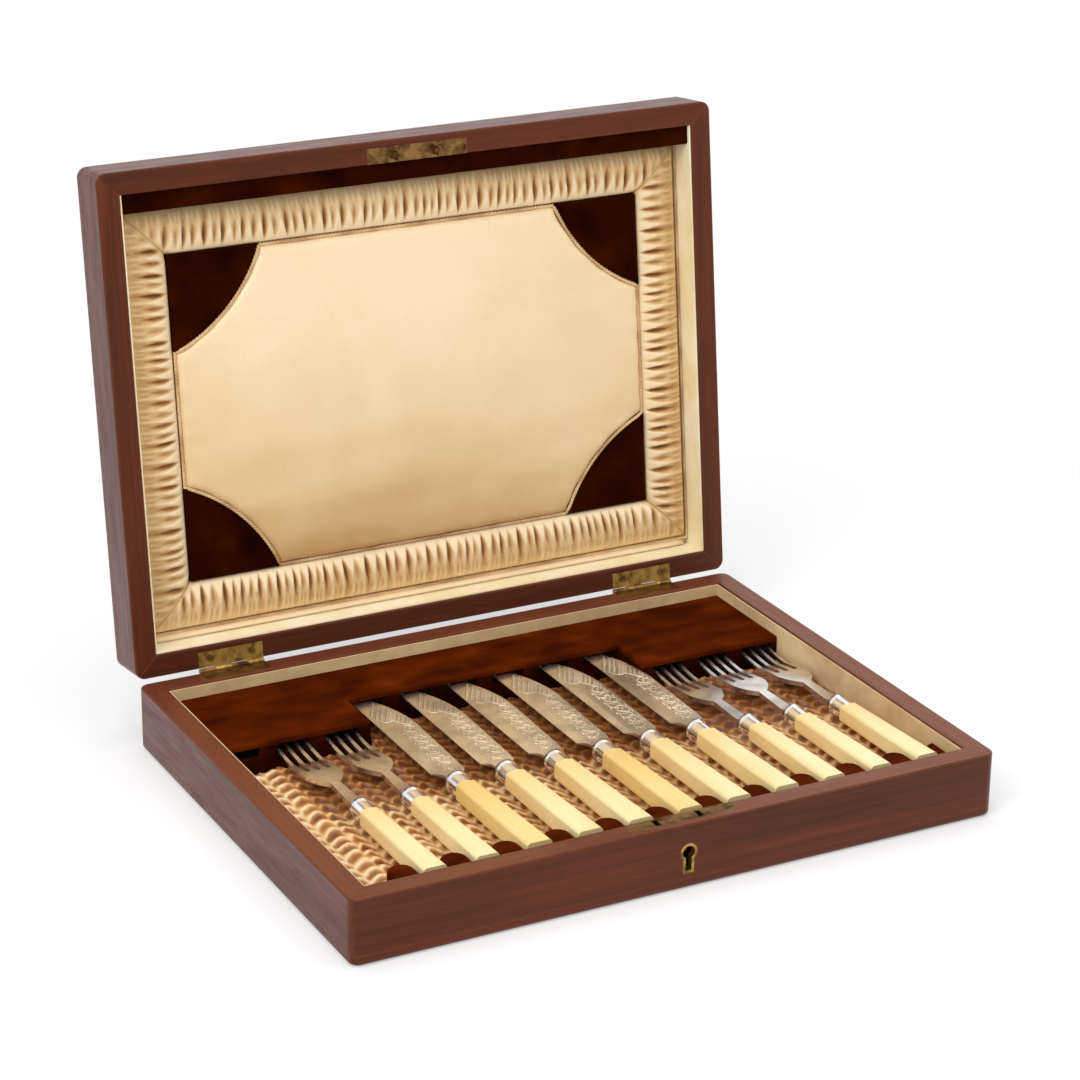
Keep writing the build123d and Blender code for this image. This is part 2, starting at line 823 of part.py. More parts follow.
def lid_linings():
    low = lid_rim + lining_below_rim
    rear = block(-half_inner_x, half_inner_x, lined_y, half_inner_y, low, lid_ceiling)
    left = block(-half_inner_x, -lined_x, -half_inner_y, lined_y, low, lid_ceiling)
    right = block(lined_x, half_inner_x, -half_inner_y, lined_y, low, lid_ceiling)
    return [rear, left, right]


def velvet_batten():
    low = lid_rim + batten_below_rim
    front = -half_inner_y
    batten = block(-lined_x, lined_x, front, front + batten_depth, low, lid_ceiling)
    low_edges = batten.edges().filter_by_position(Axis.Z, low - level_band, low + level_band)
    edge = low_edges.sort_by(Axis.Y)[-1]
    return fillet(edge, batten_edge_radius)


def backing():
    front = -half_inner_y + batten_depth
    return block(-lined_x, lined_x, front, lined_y, card_face, lid_ceiling)


ruffle_left = -lined_x + ruffle_side_gap
ruffle_right = -ruffle_left
ruffle_front = -half_inner_y + batten_depth + soft_clearance
ruffle_rear = lined_y - ruffle_rear_gap
panel_left = ruffle_left + ruffle_width
panel_right = -panel_left
panel_front = ruffle_front + ruffle_width
panel_rear = ruffle_rear - ruffle_width


def pleated_roll(length):
    """Padded roll along +X with pleats across it. Its back lies at z = 0 and its face looks down."""
    count = round(length / pleat_pitch)
    pitch = length / count
    crest = -ruffle_edge_height - ruffle_crown
    face = []
    for step in range(roll_facets + 1):
        across = step / roll_facets
        rise = ruffle_crown * 4 * across * (1 - across)
        face.append((across * ruffle_width, -ruffle_edge_height - rise))
    arch = Polygon((0, 0), *face, (ruffle_width, 0), align=None)
    roll = extrude(Plane.YZ * arch, length)
    groove = Polygon(
        (-valley_width / 2, crest - 1),
        (-valley_width / 2, crest),
        (0, crest + pleat_depth),
        (valley_width / 2, crest),
        (valley_width / 2, crest - 1),
        align=None,
    )
    cutter = extrude(Plane.XZ * groove, ruffle_width, dir=(0, 1, 0))
    valleys = [Pos((index + 0.5) * pitch, 0, 0) * cutter for index in range(count)]
    return roll - valleys


def mitred_roll(length):
    """A pleated roll with both ends cut at 45 degrees, its long side at y = 0."""
    over = mitre_overrun
    near = ruffle_width + over
    plan = Polygon((-over, -over), (length + over, -over), (length - near, near), (near, near), align=None)
    tall = 2 * (ruffle_edge_height + ruffle_crown)
    return pleated_roll(length) & (Pos(0, 0, -tall) * extrude(plan, 2 * tall))


def ruffle_border():
    """Four pleated satin rolls, mitred at the corners."""
    width = ruffle_right - ruffle_left
    depth = ruffle_rear - ruffle_front
    gap = soft_clearance
    front = Pos(ruffle_left + gap, ruffle_front, card_face) * mitred_roll(width - 2 * gap)
    rear = Pos(ruffle_right - gap, ruffle_rear, card_face) * Rot(0, 0, 180) * mitred_roll(width - 2 * gap)
    left = Pos(ruffle_left, ruffle_rear - gap, card_face) * Rot(0, 0, -90) * mitred_roll(depth - 2 * gap)
    right = Pos(ruffle_right, ruffle_front + gap, card_face) * Rot(0, 0, 90) * mitred_roll(depth - 2 * gap)
    return [front, rear, left, right]


corner_signs = [(-1, -1), (1, -1), (-1, 1), (1, 1)]

# The arc of a velvet corner: it passes the ends of both legs and bulges towards the panel.
corner_half_chord = velvet_corner_leg / math.sqrt(2)
corner_arc_radius = (corner_half_chord**2 + velvet_corner_bulge**2) / (2 * velvet_corner_bulge)
corner_arc_setback = (corner_arc_radius - velvet_corner_bulge - corner_half_chord) / math.sqrt(2)


def corner_disc(x_side, y_side, grow):
    """Disc whose rim is the corner's arc, widened by grow; its centre lies outside the panel's corner."""
    corner_x = panel_left if x_side < 0 else panel_right
    corner_y = panel_front if y_side < 0 else panel_rear
    centre_x = corner_x + x_side * corner_arc_setback
    centre_y = corner_y + y_side * corner_arc_setback
    return Pos(centre_x, centre_y) * Circle(corner_arc_radius + grow)


def panel_rectangle(inset):
    width = panel_right - panel_left - 2 * inset
    depth = panel_rear - panel_front - 2 * inset
    return Pos(0, (panel_front + panel_rear) / 2) * Rectangle(width, depth)


def panel_plan(inset):
    """The satin panel: a rectangle with its four corners bitten out by the velvet arcs."""
    plan = panel_rectangle(inset)
    for x_side, y_side in corner_signs:
        plan -= corner_disc(x_side, y_side, inset)
    return plan


def barrel(half_width, half_length, rise):
    """Long low arch along +Y that crowns the panel across x. Its back lies at z = 0, its face looks down."""
    edge = -panel_edge_height
    arch = [
        ThreePointArc((-half_width, edge), (0, edge - rise), (half_width, edge)),
        Polyline((half_width, edge), (half_width, 0), (-half_width, 0), (-half_width, edge)),
    ]
    return extrude(Plane.XZ * make_face(arch), half_length, both=True)


def center_pad():
    """Padded satin panel, crowned both ways, its face down."""
    inset = panel_cord + cord_clearance
    half_x = panel_right - inset
    half_y = (panel_rear - panel_front) / 2 - inset
    plan = Pos(0, 0, -panel_edge_height - panel_crown) * extrude(panel_plan(inset), lid_height)
    across = barrel(half_x, half_y, panel_crown)
    along = Rot(0, 0, 90) * barrel(half_y, half_x, panel_crown)
    middle = Pos(0, (panel_front + panel_rear) / 2, card_face)
    return (middle * (across & along)) & (Pos(0, 0, card_face) * plan)


def corner_pads():
    """Four flat velvet corner pads."""
    low = card_face - velvet_corner_height
    field = panel_rectangle(soft_clearance)
    pads = []
    for x_side, y_side in corner_signs:
        plan = field & corner_disc(x_side, y_side, -cord_clearance)
        pads.append(Pos(0, 0, low) * extrude(plan, velvet_corner_height))
    return pads


def cord_trims():
    """Cord round the panel, and a thinner cord along the ruffle's left, rear and right edges."""
    low = card_face - panel_edge_height - panel_cord / 2
    ring = panel_plan(cord_clearance) - panel_plan(panel_cord)
    panel_trim = Pos(0, 0, low) * extrude(ring, panel_cord)
    outer_x = lined_x - cord_clearance
    outer_y = ruffle_rear + cord_clearance + edge_cord
    inner_x = outer_x - edge_cord
    inner_y = outer_y - edge_cord
    front = ruffle_front
    edge_z = card_face - ruffle_edge_height
    loop = block(-outer_x, outer_x, front, outer_y, edge_z, edge_z + edge_cord)
    loop -= block(-inner_x, inner_x, front - 1, inner_y, edge_z - 1, edge_z + edge_cord + 1)
    return [panel_trim, loop]


# ---------------------------------------------------------------- the whole object

def base_pieces():
    """Everything that is fixed to the base, by node."""
    walls = mitred_walls(bottom_board, base_height, base_height)
    leaf_low = base_height - leaf_thickness
    hinge_places = hinge_screw_places(base_height, False)
    lock_places = plate_screw_places(base_height, lock_screw_spread, False)
    holes = [place * screw_hole() for place in hinge_places]
    lock_holes = [place * screw_hole() for place in lock_places]
    back = walls["back"]
    leaves = []
    for hinge in (-hinge_centre_x, hinge_centre_x):
        back -= leaf_mortise(hinge, leaf_low, base_height + 1)
        leaves.append(hinge_leaf(hinge, leaf_low, base_height, 0, pin_radius) - holes)
    pins = []
    for hinge in (-hinge_centre_x, hinge_centre_x):
        half = hinge_length / 2
        pins.append(lengthwise_cylinder(hinge - half, hinge + half, hinge_y, hinge_z, pin_radius))
    return {
        "base_front_wall": [walls["front"] - lock_pocket() - lock_holes],
        "base_back_wall": [back - holes],
        "base_left_wall": [walls["left"]],
        "base_right_wall": [walls["right"]],
        "bottom_board": [case_board(0, bottom_board, 0, outer_edge_radius)],
        "base_lining_strips": lining_strips(),
        "front_velvet_strip": [front_velvet_strip()],
        "floor_card": [block(-lined_x, lined_x, -lined_y, lined_y, bottom_board, card_top)],
        "satin_floor": [satin_floor()],
        "tip_rail_top": [tip_rail_top()],
        "tip_rail_front": tip_rail_front(),
        "tip_rail_cleat": [tip_rail_cleat()],
        "handle_rail_bar": [handle_rail_bar()],
        "handle_rail_tongues": handle_rail_tongues(),
        "hinge_base_leaves": leaves,
        "hinge_pins": pins,
        "hinge_base_screws": [place * sunk_screw() for place in hinge_places],
        "lock_case": [lock_case()],
        "lock_top_plate": [lock_top_plate() - lock_holes],
        "lock_screws": [place * sunk_screw() for place in lock_places],
        "keyhole_escutcheon": [escutcheon()],
    }


def lid_pieces():
    """Everything that is fixed to the lid, by node, drawn shut."""
    walls = mitred_walls(lid_rim, lid_ceiling, lid_rim)
    leaf_high = lid_rim + leaf_thickness
    hinge_places = hinge_screw_places(lid_rim, True)
    plate_places = plate_screw_places(lid_rim, plate_screw_spread, True)
    holes = [place * screw_hole() for place in hinge_places]
    plate_holes = [place * screw_hole() for place in plate_places]
    back = walls["back"]
    leaves = []
    for hinge in (-hinge_centre_x, hinge_centre_x):
        back -= leaf_mortise(hinge, lid_rim - 1, leaf_high)
        leaves.append(hinge_leaf(hinge, lid_rim, leaf_high, 1, pin_radius + pin_clearance) - holes)
    plate_recess = lock_plate(lid_rim - 1, lid_rim + plate_thickness)
    return {
        "lid_front_wall": [walls["front"] - plate_recess - plate_holes],
        "lid_back_wall": [back - holes],
        "lid_left_wall": [walls["left"]],
        "lid_right_wall": [walls["right"]],
        "lid_top_board": [
            case_board(lid_ceiling, lid_rim + lid_height, lid_rim + lid_height, outer_edge_radius)
        ],
        "lid_backing_card": [backing()],
        "lid_lining_strips": lid_linings(),
        "lid_velvet_batten": [velvet_batten()],
        "lid_ruffle_border": ruffle_border(),
        "lid_center_pad": [center_pad()],
        "lid_corner_pads": corner_pads(),
        "lid_cord_trims": cord_trims(),
        "hinge_lid_leaves": leaves,
        "hinge_lid_screws": [place * sunk_screw() for place in hinge_places],
        "lock_link_plate": [link_plate() - plate_holes],
        "link_plate_screws": [place * sunk_screw() for place in plate_places],
    }


def cutlery_pieces():
    """The knives and forks, numbered from the left; an empty bay has no piece."""
    pieces = {}
    knife_number = 0
    fork_number = 0
    for bay in range(bay_count):
        if bay in empty_bays:
            continue
        if is_knife_bay(bay):
            knife_number += 1
            metal, grip = knife_parts(bay)
            pieces[f"knife_{knife_number}_blade"] = metal
            pieces[f"knife_{knife_number}_handle"] = grip
        else:
            fork_number += 1
            metal, grip = fork_parts(bay)
            pieces[f"fork_{fork_number}_head"] = metal
            pieces[f"fork_{fork_number}_handle"] = grip
    return pieces


def opened(solid):
    """Turns a piece of the shut lid to where the open lid stands."""
    return solid.rotate(hinge_axis, -lid_open_angle)


def all_pieces():
    pieces = base_pieces()
    pieces["lock_bolt"] = [lock_bolt()]
    for name, solids in lid_pieces().items():
        pieces[name] = [opened(solid) for solid in solids]
    pieces.update(cutlery_pieces())
    return pieces


def write_parts():
    os.makedirs("parts", exist_ok=True)
    for name, shapes in all_pieces().items():
        solids = [solid for shape in shapes for solid in shape.solids()]
        whole = solids[0] if len(solids) == 1 else Compound(children=solids)
        export_step(whole, f"parts/{name}.step")


write_parts()
print("case", round(case_width, 2), "x", round(case_depth, 2), "mm, base", base_height, "mm high")
print("lid hinge axis at y", round(hinge_y, 3), "z", round(hinge_z, 3))
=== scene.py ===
"""Dresses the packed silverware chest: mahogany, ruched satin, velvet, brass, ivory-coloured handles and silver.

Every size is in millimetres until it goes into a mesh, and places come from the packed frame. The lid's
padding is worked out as it lies in the shut lid and is then turned open with it.
"""

import json
import math
import random

import bmesh
import bpy
from mathutils import Matrix, Vector, noise


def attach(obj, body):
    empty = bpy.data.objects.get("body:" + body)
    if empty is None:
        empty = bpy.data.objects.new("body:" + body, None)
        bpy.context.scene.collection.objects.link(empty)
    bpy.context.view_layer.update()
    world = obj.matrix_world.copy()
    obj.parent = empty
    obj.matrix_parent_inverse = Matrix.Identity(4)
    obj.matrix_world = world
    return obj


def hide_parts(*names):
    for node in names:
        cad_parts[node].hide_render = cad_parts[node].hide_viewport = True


bl_info = {
    "name": "Silverware Chest",
    "version": (1, 0, 0),
    "blender": (4, 5, 0),
    "location": "3D View > Sidebar > Chest",
    "description": "Dresses a fitted silverware chest in wood, satin, velvet, brass, celluloid and silver",
    "category": "Object",
}

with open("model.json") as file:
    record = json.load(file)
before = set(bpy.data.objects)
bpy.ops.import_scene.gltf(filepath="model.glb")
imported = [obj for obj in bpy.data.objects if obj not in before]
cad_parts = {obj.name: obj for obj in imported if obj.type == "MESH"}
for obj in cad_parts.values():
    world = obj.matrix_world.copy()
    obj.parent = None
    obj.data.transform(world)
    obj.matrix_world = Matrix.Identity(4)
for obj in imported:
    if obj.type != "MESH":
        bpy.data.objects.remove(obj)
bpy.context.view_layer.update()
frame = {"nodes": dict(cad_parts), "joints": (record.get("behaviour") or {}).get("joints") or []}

MM = 0.001
hinge = next(joint for joint in frame["joints"] if joint["name"] == "lid_hinge")
hinge_point = Vector(hinge["pos_m"])
lid_angle = math.radians(hinge["range_deg"][0])
OPEN_LID = Matrix.Translation(hinge_point) @ Matrix.Rotation(lid_angle, 4, "X") @ Matrix.Translation(-hinge_point)
SHUT_LID = OPEN_LID.inverted()


def box_mm(node, turn=None):
    """Lowest and highest corners of a CAD node in millimetres, if asked after a turn."""
    points = [vertex.co for vertex in frame["nodes"][node].data.vertices]
    if turn is not None:
        points = [turn @ point for point in points]
    low = [min(point[axis] for point in points) / MM for axis in range(3)]
    high = [max(point[axis] for point in points) / MM for axis in range(3)]
    return Vector(low), Vector(high)


# ---------------------------------------------------------------- materials


def linear(colour):
    """sRGB hex colour as a linear RGBA value."""
    channels = [int(colour[start : start + 2], 16) / 255 for start in (1, 3, 5)]
    return [value / 12.92 if value <= 0.04045 else ((value + 0.055) / 1.055) ** 2.4 for value in channels] + [1.0]


def add_node(tree, kind, inputs=None, **settings):
    """Adds a node. inputs maps a socket's name or number to a value, or to another node's output."""
    node = tree.nodes.new(kind)
    for name, value in settings.items():
        setattr(node, name, value)
    for socket, value in (inputs or {}).items():
        if isinstance(value, bpy.types.NodeSocket):
            tree.links.new(value, node.inputs[socket])
        else:
            node.inputs[socket].default_value = value
    return node


def ramp_stops(node, *stops):
    """Sets a colour ramp's stops, each a place and an sRGB hex colour."""
    ramp = node.color_ramp
    while len(ramp.elements) < len(stops):
        ramp.elements.new(0.5)
    for element, (place, colour) in zip(ramp.elements, stops):
        element.position = place
        element.color = linear(colour)
    return node.outputs["Color"]


def new_material(name):
    """An empty node material with its output and one Principled shader."""
    material = bpy.data.materials.new(name)
    material.use_nodes = True
    tree = material.node_tree
    tree.nodes.clear()
    shader = add_node(tree, "ShaderNodeBsdfPrincipled")
    output = add_node(tree, "ShaderNodeOutputMaterial")
    tree.links.new(shader.outputs["BSDF"], output.inputs["Surface"])
    return material, tree, shader


def set_sockets(shader, **values):
    for name, value in values.items():
        shader.inputs[name.replace("_", " ")].default_value = value


def object_place(tree, scale=(1, 1, 1), turn=(0, 0, 0)):
    """Object coordinates, turned and then scaled."""
    place = add_node(tree, "ShaderNodeTexCoord").outputs["Object"]
    turned = add_node(tree, "ShaderNodeMapping", {"Vector": place, "Rotation": turn})
    return add_node(tree, "ShaderNodeMapping", {"Vector": turned.outputs["Vector"], "Scale": scale}).outputs["Vector"]


def noise_value(tree, place, scale, detail=3.0, roughness=0.5, distortion=0.0):
    settings = {"Vector": place, "Scale": scale, "Detail": detail, "Roughness": roughness, "Distortion": distortion}
    return add_node(tree, "ShaderNodeTexNoise", settings).outputs["Fac"]


def remap(tree, value, low, high, new_low=0.0, new_high=1.0):
    inputs = {"Value": value, "From Min": low, "From Max": high, "To Min": new_low, "To Max": new_high}
    return add_node(tree, "ShaderNodeMapRange", inputs).outputs["Result"]


def maths(tree, operation, first, second=0.5):
    return add_node(tree, "ShaderNodeMath", {0: first, 1: second}, operation=operation).outputs["Value"]


def mixed(tree, share, first, second, blend="MIX"):
    node = add_node(tree, "ShaderNodeMix", data_type="RGBA", blend_type=blend)
    for socket, value in ((0, share), (6, first), (7, second)):
        if isinstance(value, bpy.types.NodeSocket):
            tree.links.new(value, node.inputs[socket])
        else:
            node.inputs[socket].default_value = value
    return node.outputs[2]


def bump(tree, height, distance_mm, strength=1.0, normal=None):
    inputs = {"Height": height, "Distance": distance_mm * MM, "Strength": strength}
    if normal is not None:
        inputs["Normal"] = normal
    return add_node(tree, "ShaderNodeBump", inputs).outputs["Normal"]


def mahogany(name, grain_turn, colours, lit_top=False):
    """Mahogany, french polished: brown-red, with long dark pores and paler worn edges under a thin shine, and, where
    asked, tops painted paler by light from above.
    """
    material, tree, shader = new_material(name)
    # The grain runs along X after the turn: pores about 0.5 mm wide and 15 mm long, figure about 12 mm wide.
    figure_place = object_place(tree, (7.0, 85.0, 85.0), grain_turn)
    pore_place = object_place(tree, (55.0, 1300.0, 1300.0), grain_turn)
    streak_place = object_place(tree, (6.0, 420.0, 420.0), grain_turn)
    figure = noise_value(tree, figure_place, 1.0, 4.0, 0.55, 0.6)
    streak = noise_value(tree, streak_place, 1.0, 3.0, 0.6, 0.3)
    pores = noise_value(tree, pore_place, 1.0, 2.0, 0.5)
    blotch = noise_value(tree, object_place(tree), 14.0, 2.0)
    tones = maths(tree, "ADD", maths(tree, "MULTIPLY", figure, 0.6), maths(tree, "MULTIPLY", streak, 0.4))
    ramp = add_node(tree, "ShaderNodeValToRGB", {"Fac": tones})
    wood = ramp_stops(ramp, (0.30, colours[0]), (0.50, colours[1]), (0.72, colours[2]))
    pore_mask = remap(tree, pores, 0.54, 0.66)
    wood = mixed(tree, maths(tree, "MULTIPLY", pore_mask, 0.34), wood, linear(colours[0]))
    # Edges are rubbed paler: the rounded normal leaves the true one only within a millimetre of an edge.
    rounded = add_node(tree, "ShaderNodeBevel", {"Radius": 1.1 * MM}, samples=4).outputs["Normal"]
    true_normal = add_node(tree, "ShaderNodeNewGeometry").outputs["Normal"]
    agree = add_node(tree, "ShaderNodeVectorMath", {0: rounded, 1: true_normal}, operation="DOT_PRODUCT")
    edge = remap(tree, agree.outputs["Value"], 0.995, 0.90)
    worn = maths(tree, "MULTIPLY", edge, remap(tree, blotch, 0.40, 0.62, 0.15, 0.7))
    # Tops that face up are mixed into the worn colour too: painted light from above.
    if lit_top:
        height = add_node(tree, "ShaderNodeSeparateXYZ", {0: true_normal}).outputs["Z"]
        lit_rim = maths(tree, "MULTIPLY", remap(tree, height, 0.90, 0.97), remap(tree, blotch, 0.35, 0.65, 0.2, 0.6))
        worn = maths(tree, "MAXIMUM", worn, lit_rim)
    wood = mixed(tree, worn, wood, linear(colours[3]))
    wood = mixed(tree, remap(tree, blotch, 0.35, 0.7, 0.0, 0.3), wood, linear(colours[0]))
    tree.links.new(wood, shader.inputs["Base Color"])
    scuffs = noise_value(tree, object_place(tree, (40.0, 300.0, 300.0), grain_turn), 1.0, 3.0, 0.6)
    tree.links.new(remap(tree, scuffs, 0.3, 0.75, 0.30, 0.50), shader.inputs["Roughness"])
    height = maths(tree, "MULTIPLY", pore_mask, -1.0)
    tree.links.new(bump(tree, height, 0.06, 0.5, rounded), shader.inputs["Normal"])
    set_sockets(shader, IOR=1.5, Coat_Weight=0.05, Coat_Roughness=0.2, Specular_IOR_Level=0.5)
    # Shellac is amber: straight on its shine is warm, and it turns white only at a glance.
    shader.inputs["Specular Tint"].default_value = linear("#FFB08A")
    return material


def satin(name, deep, dark, middle, pale):
    """Silk satin, warp faced: champagne with a soft broad shine, painted paler on the crests of its folds and amber in
    them: painted light and painted shade.
    """
    material, tree, shader = new_material(name)
    # Threads are really 0.1 mm apart. They are drawn 0.45 mm apart so that they show at all.
    threads = noise_value(tree, object_place(tree, (2200.0, 120.0, 2200.0)), 1.0, 1.0)
    cloudy = noise_value(tree, object_place(tree), 16.0, 3.0, 0.5, 0.3)
    # Each piece's mesh says how deep in a fold a point lies, from 0 on a crest to 1 at the bottom, and the colour
    # darkens with it: painted shade in the folds.
    fold = add_node(tree, "ShaderNodeAttribute", attribute_name="fold").outputs["Fac"]
    depth = maths(tree, "ADD", fold, remap(tree, cloudy, 0.3, 0.7, -0.06, 0.10))
    ramp = add_node(tree, "ShaderNodeValToRGB", {"Fac": depth})
    cloth = ramp_stops(ramp, (0.0, pale), (0.30, middle), (0.62, dark), (1.0, deep))
    cloth = mixed(tree, remap(tree, threads, 0.35, 0.7, 0.0, 0.12), cloth, linear(dark))
    tree.links.new(cloth, shader.inputs["Base Color"])
    tree.links.new(remap(tree, threads, 0.3, 0.7, 0.36, 0.46), shader.inputs["Roughness"])
    tree.links.new(bump(tree, threads, 0.05, 0.3), shader.inputs["Normal"])
    set_sockets(shader, IOR=1.45, Specular_IOR_Level=0.5, Sheen_Weight=0.15, Sheen_Roughness=0.35)
    shader.inputs["Sheen Tint"].default_value = linear("#FFE9BE")
    return material


def velvet(name, dark, middle, lit):
    """Silk velvet on a cotton back: rust brown, with darker and paler patches of pile, lit at its rims."""
    material, tree, shader = new_material(name)
    # Crushed patches are 15 to 40 mm across. The pile's tufts, really 0.2 mm, are drawn at 0.7 mm.
    nap = noise_value(tree, object_place(tree, (1.0, 1.7, 1.0)), 38.0, 2.0, 0.45, 0.3)
    ramp = add_node(tree, "ShaderNodeValToRGB", {"Fac": nap})
    pile = ramp_stops(ramp, (0.30, dark), (0.55, middle), (0.80, lit))
    tufts = noise_value(tree, object_place(tree), 1400.0, 2.0, 0.6)
    pile = mixed(tree, remap(tree, tufts, 0.35, 0.7, 0.0, 0.35), pile, linear(dark))
    tree.links.new(pile, shader.inputs["Base Color"])
    tree.links.new(bump(tree, tufts, 0.25, 0.6), shader.inputs["Normal"])
    set_sockets(shader, Roughness=0.95, Specular_IOR_Level=0.08, Sheen_Weight=0.16, Sheen_Roughness=0.45)
    shader.inputs["Sheen Tint"].default_value = linear("#A84408")
    shader.inputs["Specular Tint"].default_value = linear("#FF8040")
    return material


def silk_lining(name, dark, pale):
    """Plain-woven silk glued over card: dull cream, foxed along its edges, with a fine even weave."""
    material, tree, shader = new_material(name)
    place = object_place(tree)
    warp = add_node(tree, "ShaderNodeTexWave", {"Vector": place, "Scale": 330.0, "Distortion": 1.0}, bands_direction="X")
    weft = add_node(tree, "ShaderNodeTexWave", {"Vector": place, "Scale": 330.0, "Distortion": 1.0}, bands_direction="Z")
    weave = maths(tree, "MULTIPLY", warp.outputs["Fac"], weft.outputs["Fac"])
    stains = noise_value(tree, place, 30.0, 4.0, 0.6, 0.5)
    cloth = mixed(tree, remap(tree, stains, 0.35, 0.7), linear(pale), linear(dark))
    cloth = mixed(tree, maths(tree, "MULTIPLY", weave, 0.2), cloth, linear(dark))
    tree.links.new(cloth, shader.inputs["Base Color"])
    tree.links.new(bump(tree, weave, 0.05, 0.4), shader.inputs["Normal"])
    set_sockets(shader, Roughness=0.62, Sheen_Weight=0.2, Specular_IOR_Level=0.35)
    return material


def brass(name, dull, bright):
    """Rolled brass, tarnished: brown-gold film with brighter rubbed patches and fine scratches."""
    material, tree, shader = new_material(name)
    film = noise_value(tree, object_place(tree), 190.0, 4.0, 0.55, 0.2)
    scratches = noise_value(tree, object_place(tree, (400.0, 4000.0, 4000.0), (0.2, 0.1, 0.4)), 1.0, 2.0)
    ramp = add_node(tree, "ShaderNodeValToRGB", {"Fac": film})
    metal = ramp_stops(ramp, (0.34, dull), (0.60, bright), (0.85, bright))
    tree.links.new(metal, shader.inputs["Base Color"])
    tree.links.new(remap(tree, film, 0.35, 0.65, 0.55, 0.36), shader.inputs["Roughness"])
    tree.links.new(bump(tree, scratches, 0.03, 0.25), shader.inputs["Normal"])
    set_sockets(shader, Metallic=1.0)
    return material


def silver_plate(name, shade, pale, roughness, collar_end=None):
    """Electroplated silver: warm grey-white, polished, with faint rubbing lines and a little tarnish."""
    material, tree, shader = new_material(name)
    # Rubbing lines follow the length of the piece, about 0.4 mm apart.
    rubbed = noise_value(tree, object_place(tree, (2600.0, 30.0, 400.0)), 1.0, 2.0)
    tarnish = noise_value(tree, object_place(tree), 60.0, 3.0, 0.5, 0.1)
    ramp = add_node(tree, "ShaderNodeValToRGB", {"Fac": tarnish})
    metal = ramp_stops(ramp, (0.24, shade), (0.55, pale), (0.9, pale))
    dullness = remap(tree, tarnish, 0.3, 0.7, roughness + 0.08, roughness)
    if collar_end is not None:
        # The collar at the handle gets a whiter, cooler base colour and less roughness than the blade: the whiter
        # colour is painted highlight. A dark band just behind the collar's end is painted reflection of the dark
        # surroundings.
        along = add_node(tree, "ShaderNodeSeparateXYZ", {0: object_place(tree)}).outputs["Y"]
        collar = remap(tree, along, collar_end + 0.2 * MM, collar_end - 0.2 * MM)
        metal = mixed(tree, collar, metal, linear("#F2F4FA"))
        ring = maths(tree, "ABSOLUTE", maths(tree, "SUBTRACT", along, collar_end - 0.5 * MM))
        metal = mixed(tree, remap(tree, ring, 0.9 * MM, 0.4 * MM, 0.0, 0.75), metal, linear("#4A4242"))
        dullness = maths(tree, "SUBTRACT", dullness, maths(tree, "MULTIPLY", collar, 0.12))
    tree.links.new(metal, shader.inputs["Base Color"])
    tree.links.new(dullness, shader.inputs["Roughness"])
    tree.links.new(bump(tree, rubbed, 0.004, 0.3), shader.inputs["Normal"])
    set_sockets(shader, Metallic=1.0)
    return material


def ivory_celluloid(name, deep, middle, pale, front):
    """Ivory-grained celluloid, sawn from a laminated block: warm cream with fine straight lines and a wet shine."""
    material, tree, shader = new_material(name)
    # The laminations are 0.35 mm apart and run the length of the handle.
    lines = noise_value(tree, object_place(tree, (2800.0, 14.0, 900.0)), 1.0, 2.0, 0.5, 0.2)
    aged = noise_value(tree, object_place(tree, (1.0, 0.3, 1.0)), 30.0, 1.0)
    along = add_node(tree, "ShaderNodeSeparateXYZ", {0: object_place(tree)}).outputs["Y"]
    # It has yellowed most next to the collar, about 70 mm behind the front end.
    yellowed = maths(tree, "MULTIPLY", remap(tree, along, front + 25 * MM, front + 70 * MM), 0.75)
    yellowed = maths(tree, "MAXIMUM", yellowed, remap(tree, aged, 0.50, 0.74, 0.0, 0.8))
    body = mixed(tree, yellowed, linear(pale), linear(middle))
    body = mixed(tree, remap(tree, lines, 0.42, 0.66, 0.0, 0.25), body, linear(deep))
    tree.links.new(body, shader.inputs["Base Color"])
    tree.links.new(remap(tree, lines, 0.3, 0.7, 0.28, 0.36), shader.inputs["Roughness"])
    tree.links.new(bump(tree, lines, 0.02, 0.3), shader.inputs["Normal"])
    set_sockets(shader, IOR=1.5, Coat_Weight=0.15, Coat_Roughness=0.12)
    return material


def twisted_silk(name, dark, pale):
    """Twisted silk cord: old gold, shiny along its strands and brown where they meet."""
    material, tree, shader = new_material(name)
    fibres = noise_value(tree, object_place(tree), 2400.0, 2.0, 0.6)
    worn = noise_value(tree, object_place(tree), 60.0, 2.0)
    silk = mixed(tree, remap(tree, worn, 0.4, 0.65), linear(pale), linear(dark))
    silk = mixed(tree, remap(tree, fibres, 0.4, 0.7, 0.0, 0.4), silk, linear(dark))
    tree.links.new(silk, shader.inputs["Base Color"])
    tree.links.new(bump(tree, fibres, 0.08, 0.4), shader.inputs["Normal"])
    set_sockets(shader, Roughness=0.5, Sheen_Weight=0.3)
    return material


def pasteboard(name, grey, brown):
    """Grey-brown pasteboard, rolled from rags: dull, with short fibres and damp stains."""
    material, tree, shader = new_material(name)
    fibres = noise_value(tree, object_place(tree, (1.0, 2.0, 1.0)), 900.0, 4.0, 0.7)
    stains = noise_value(tree, object_place(tree), 18.0, 3.0)
    board = mixed(tree, remap(tree, fibres, 0.35, 0.7), linear(grey), linear(brown))
    board = mixed(tree, remap(tree, stains, 0.4, 0.7, 0.0, 0.4), board, linear(brown))
    tree.links.new(board, shader.inputs["Base Color"])
    tree.links.new(bump(tree, fibres, 0.05, 0.5), shader.inputs["Normal"])
    set_sockets(shader, Roughness=0.9, Specular_IOR_Level=0.2)
    return material


materials = {}


def finish(key, maker, *values):
    """Makes a material once and gives it again when asked by the same key."""
    if key not in materials:
        materials[key] = maker(key, *values)
    return materials[key]


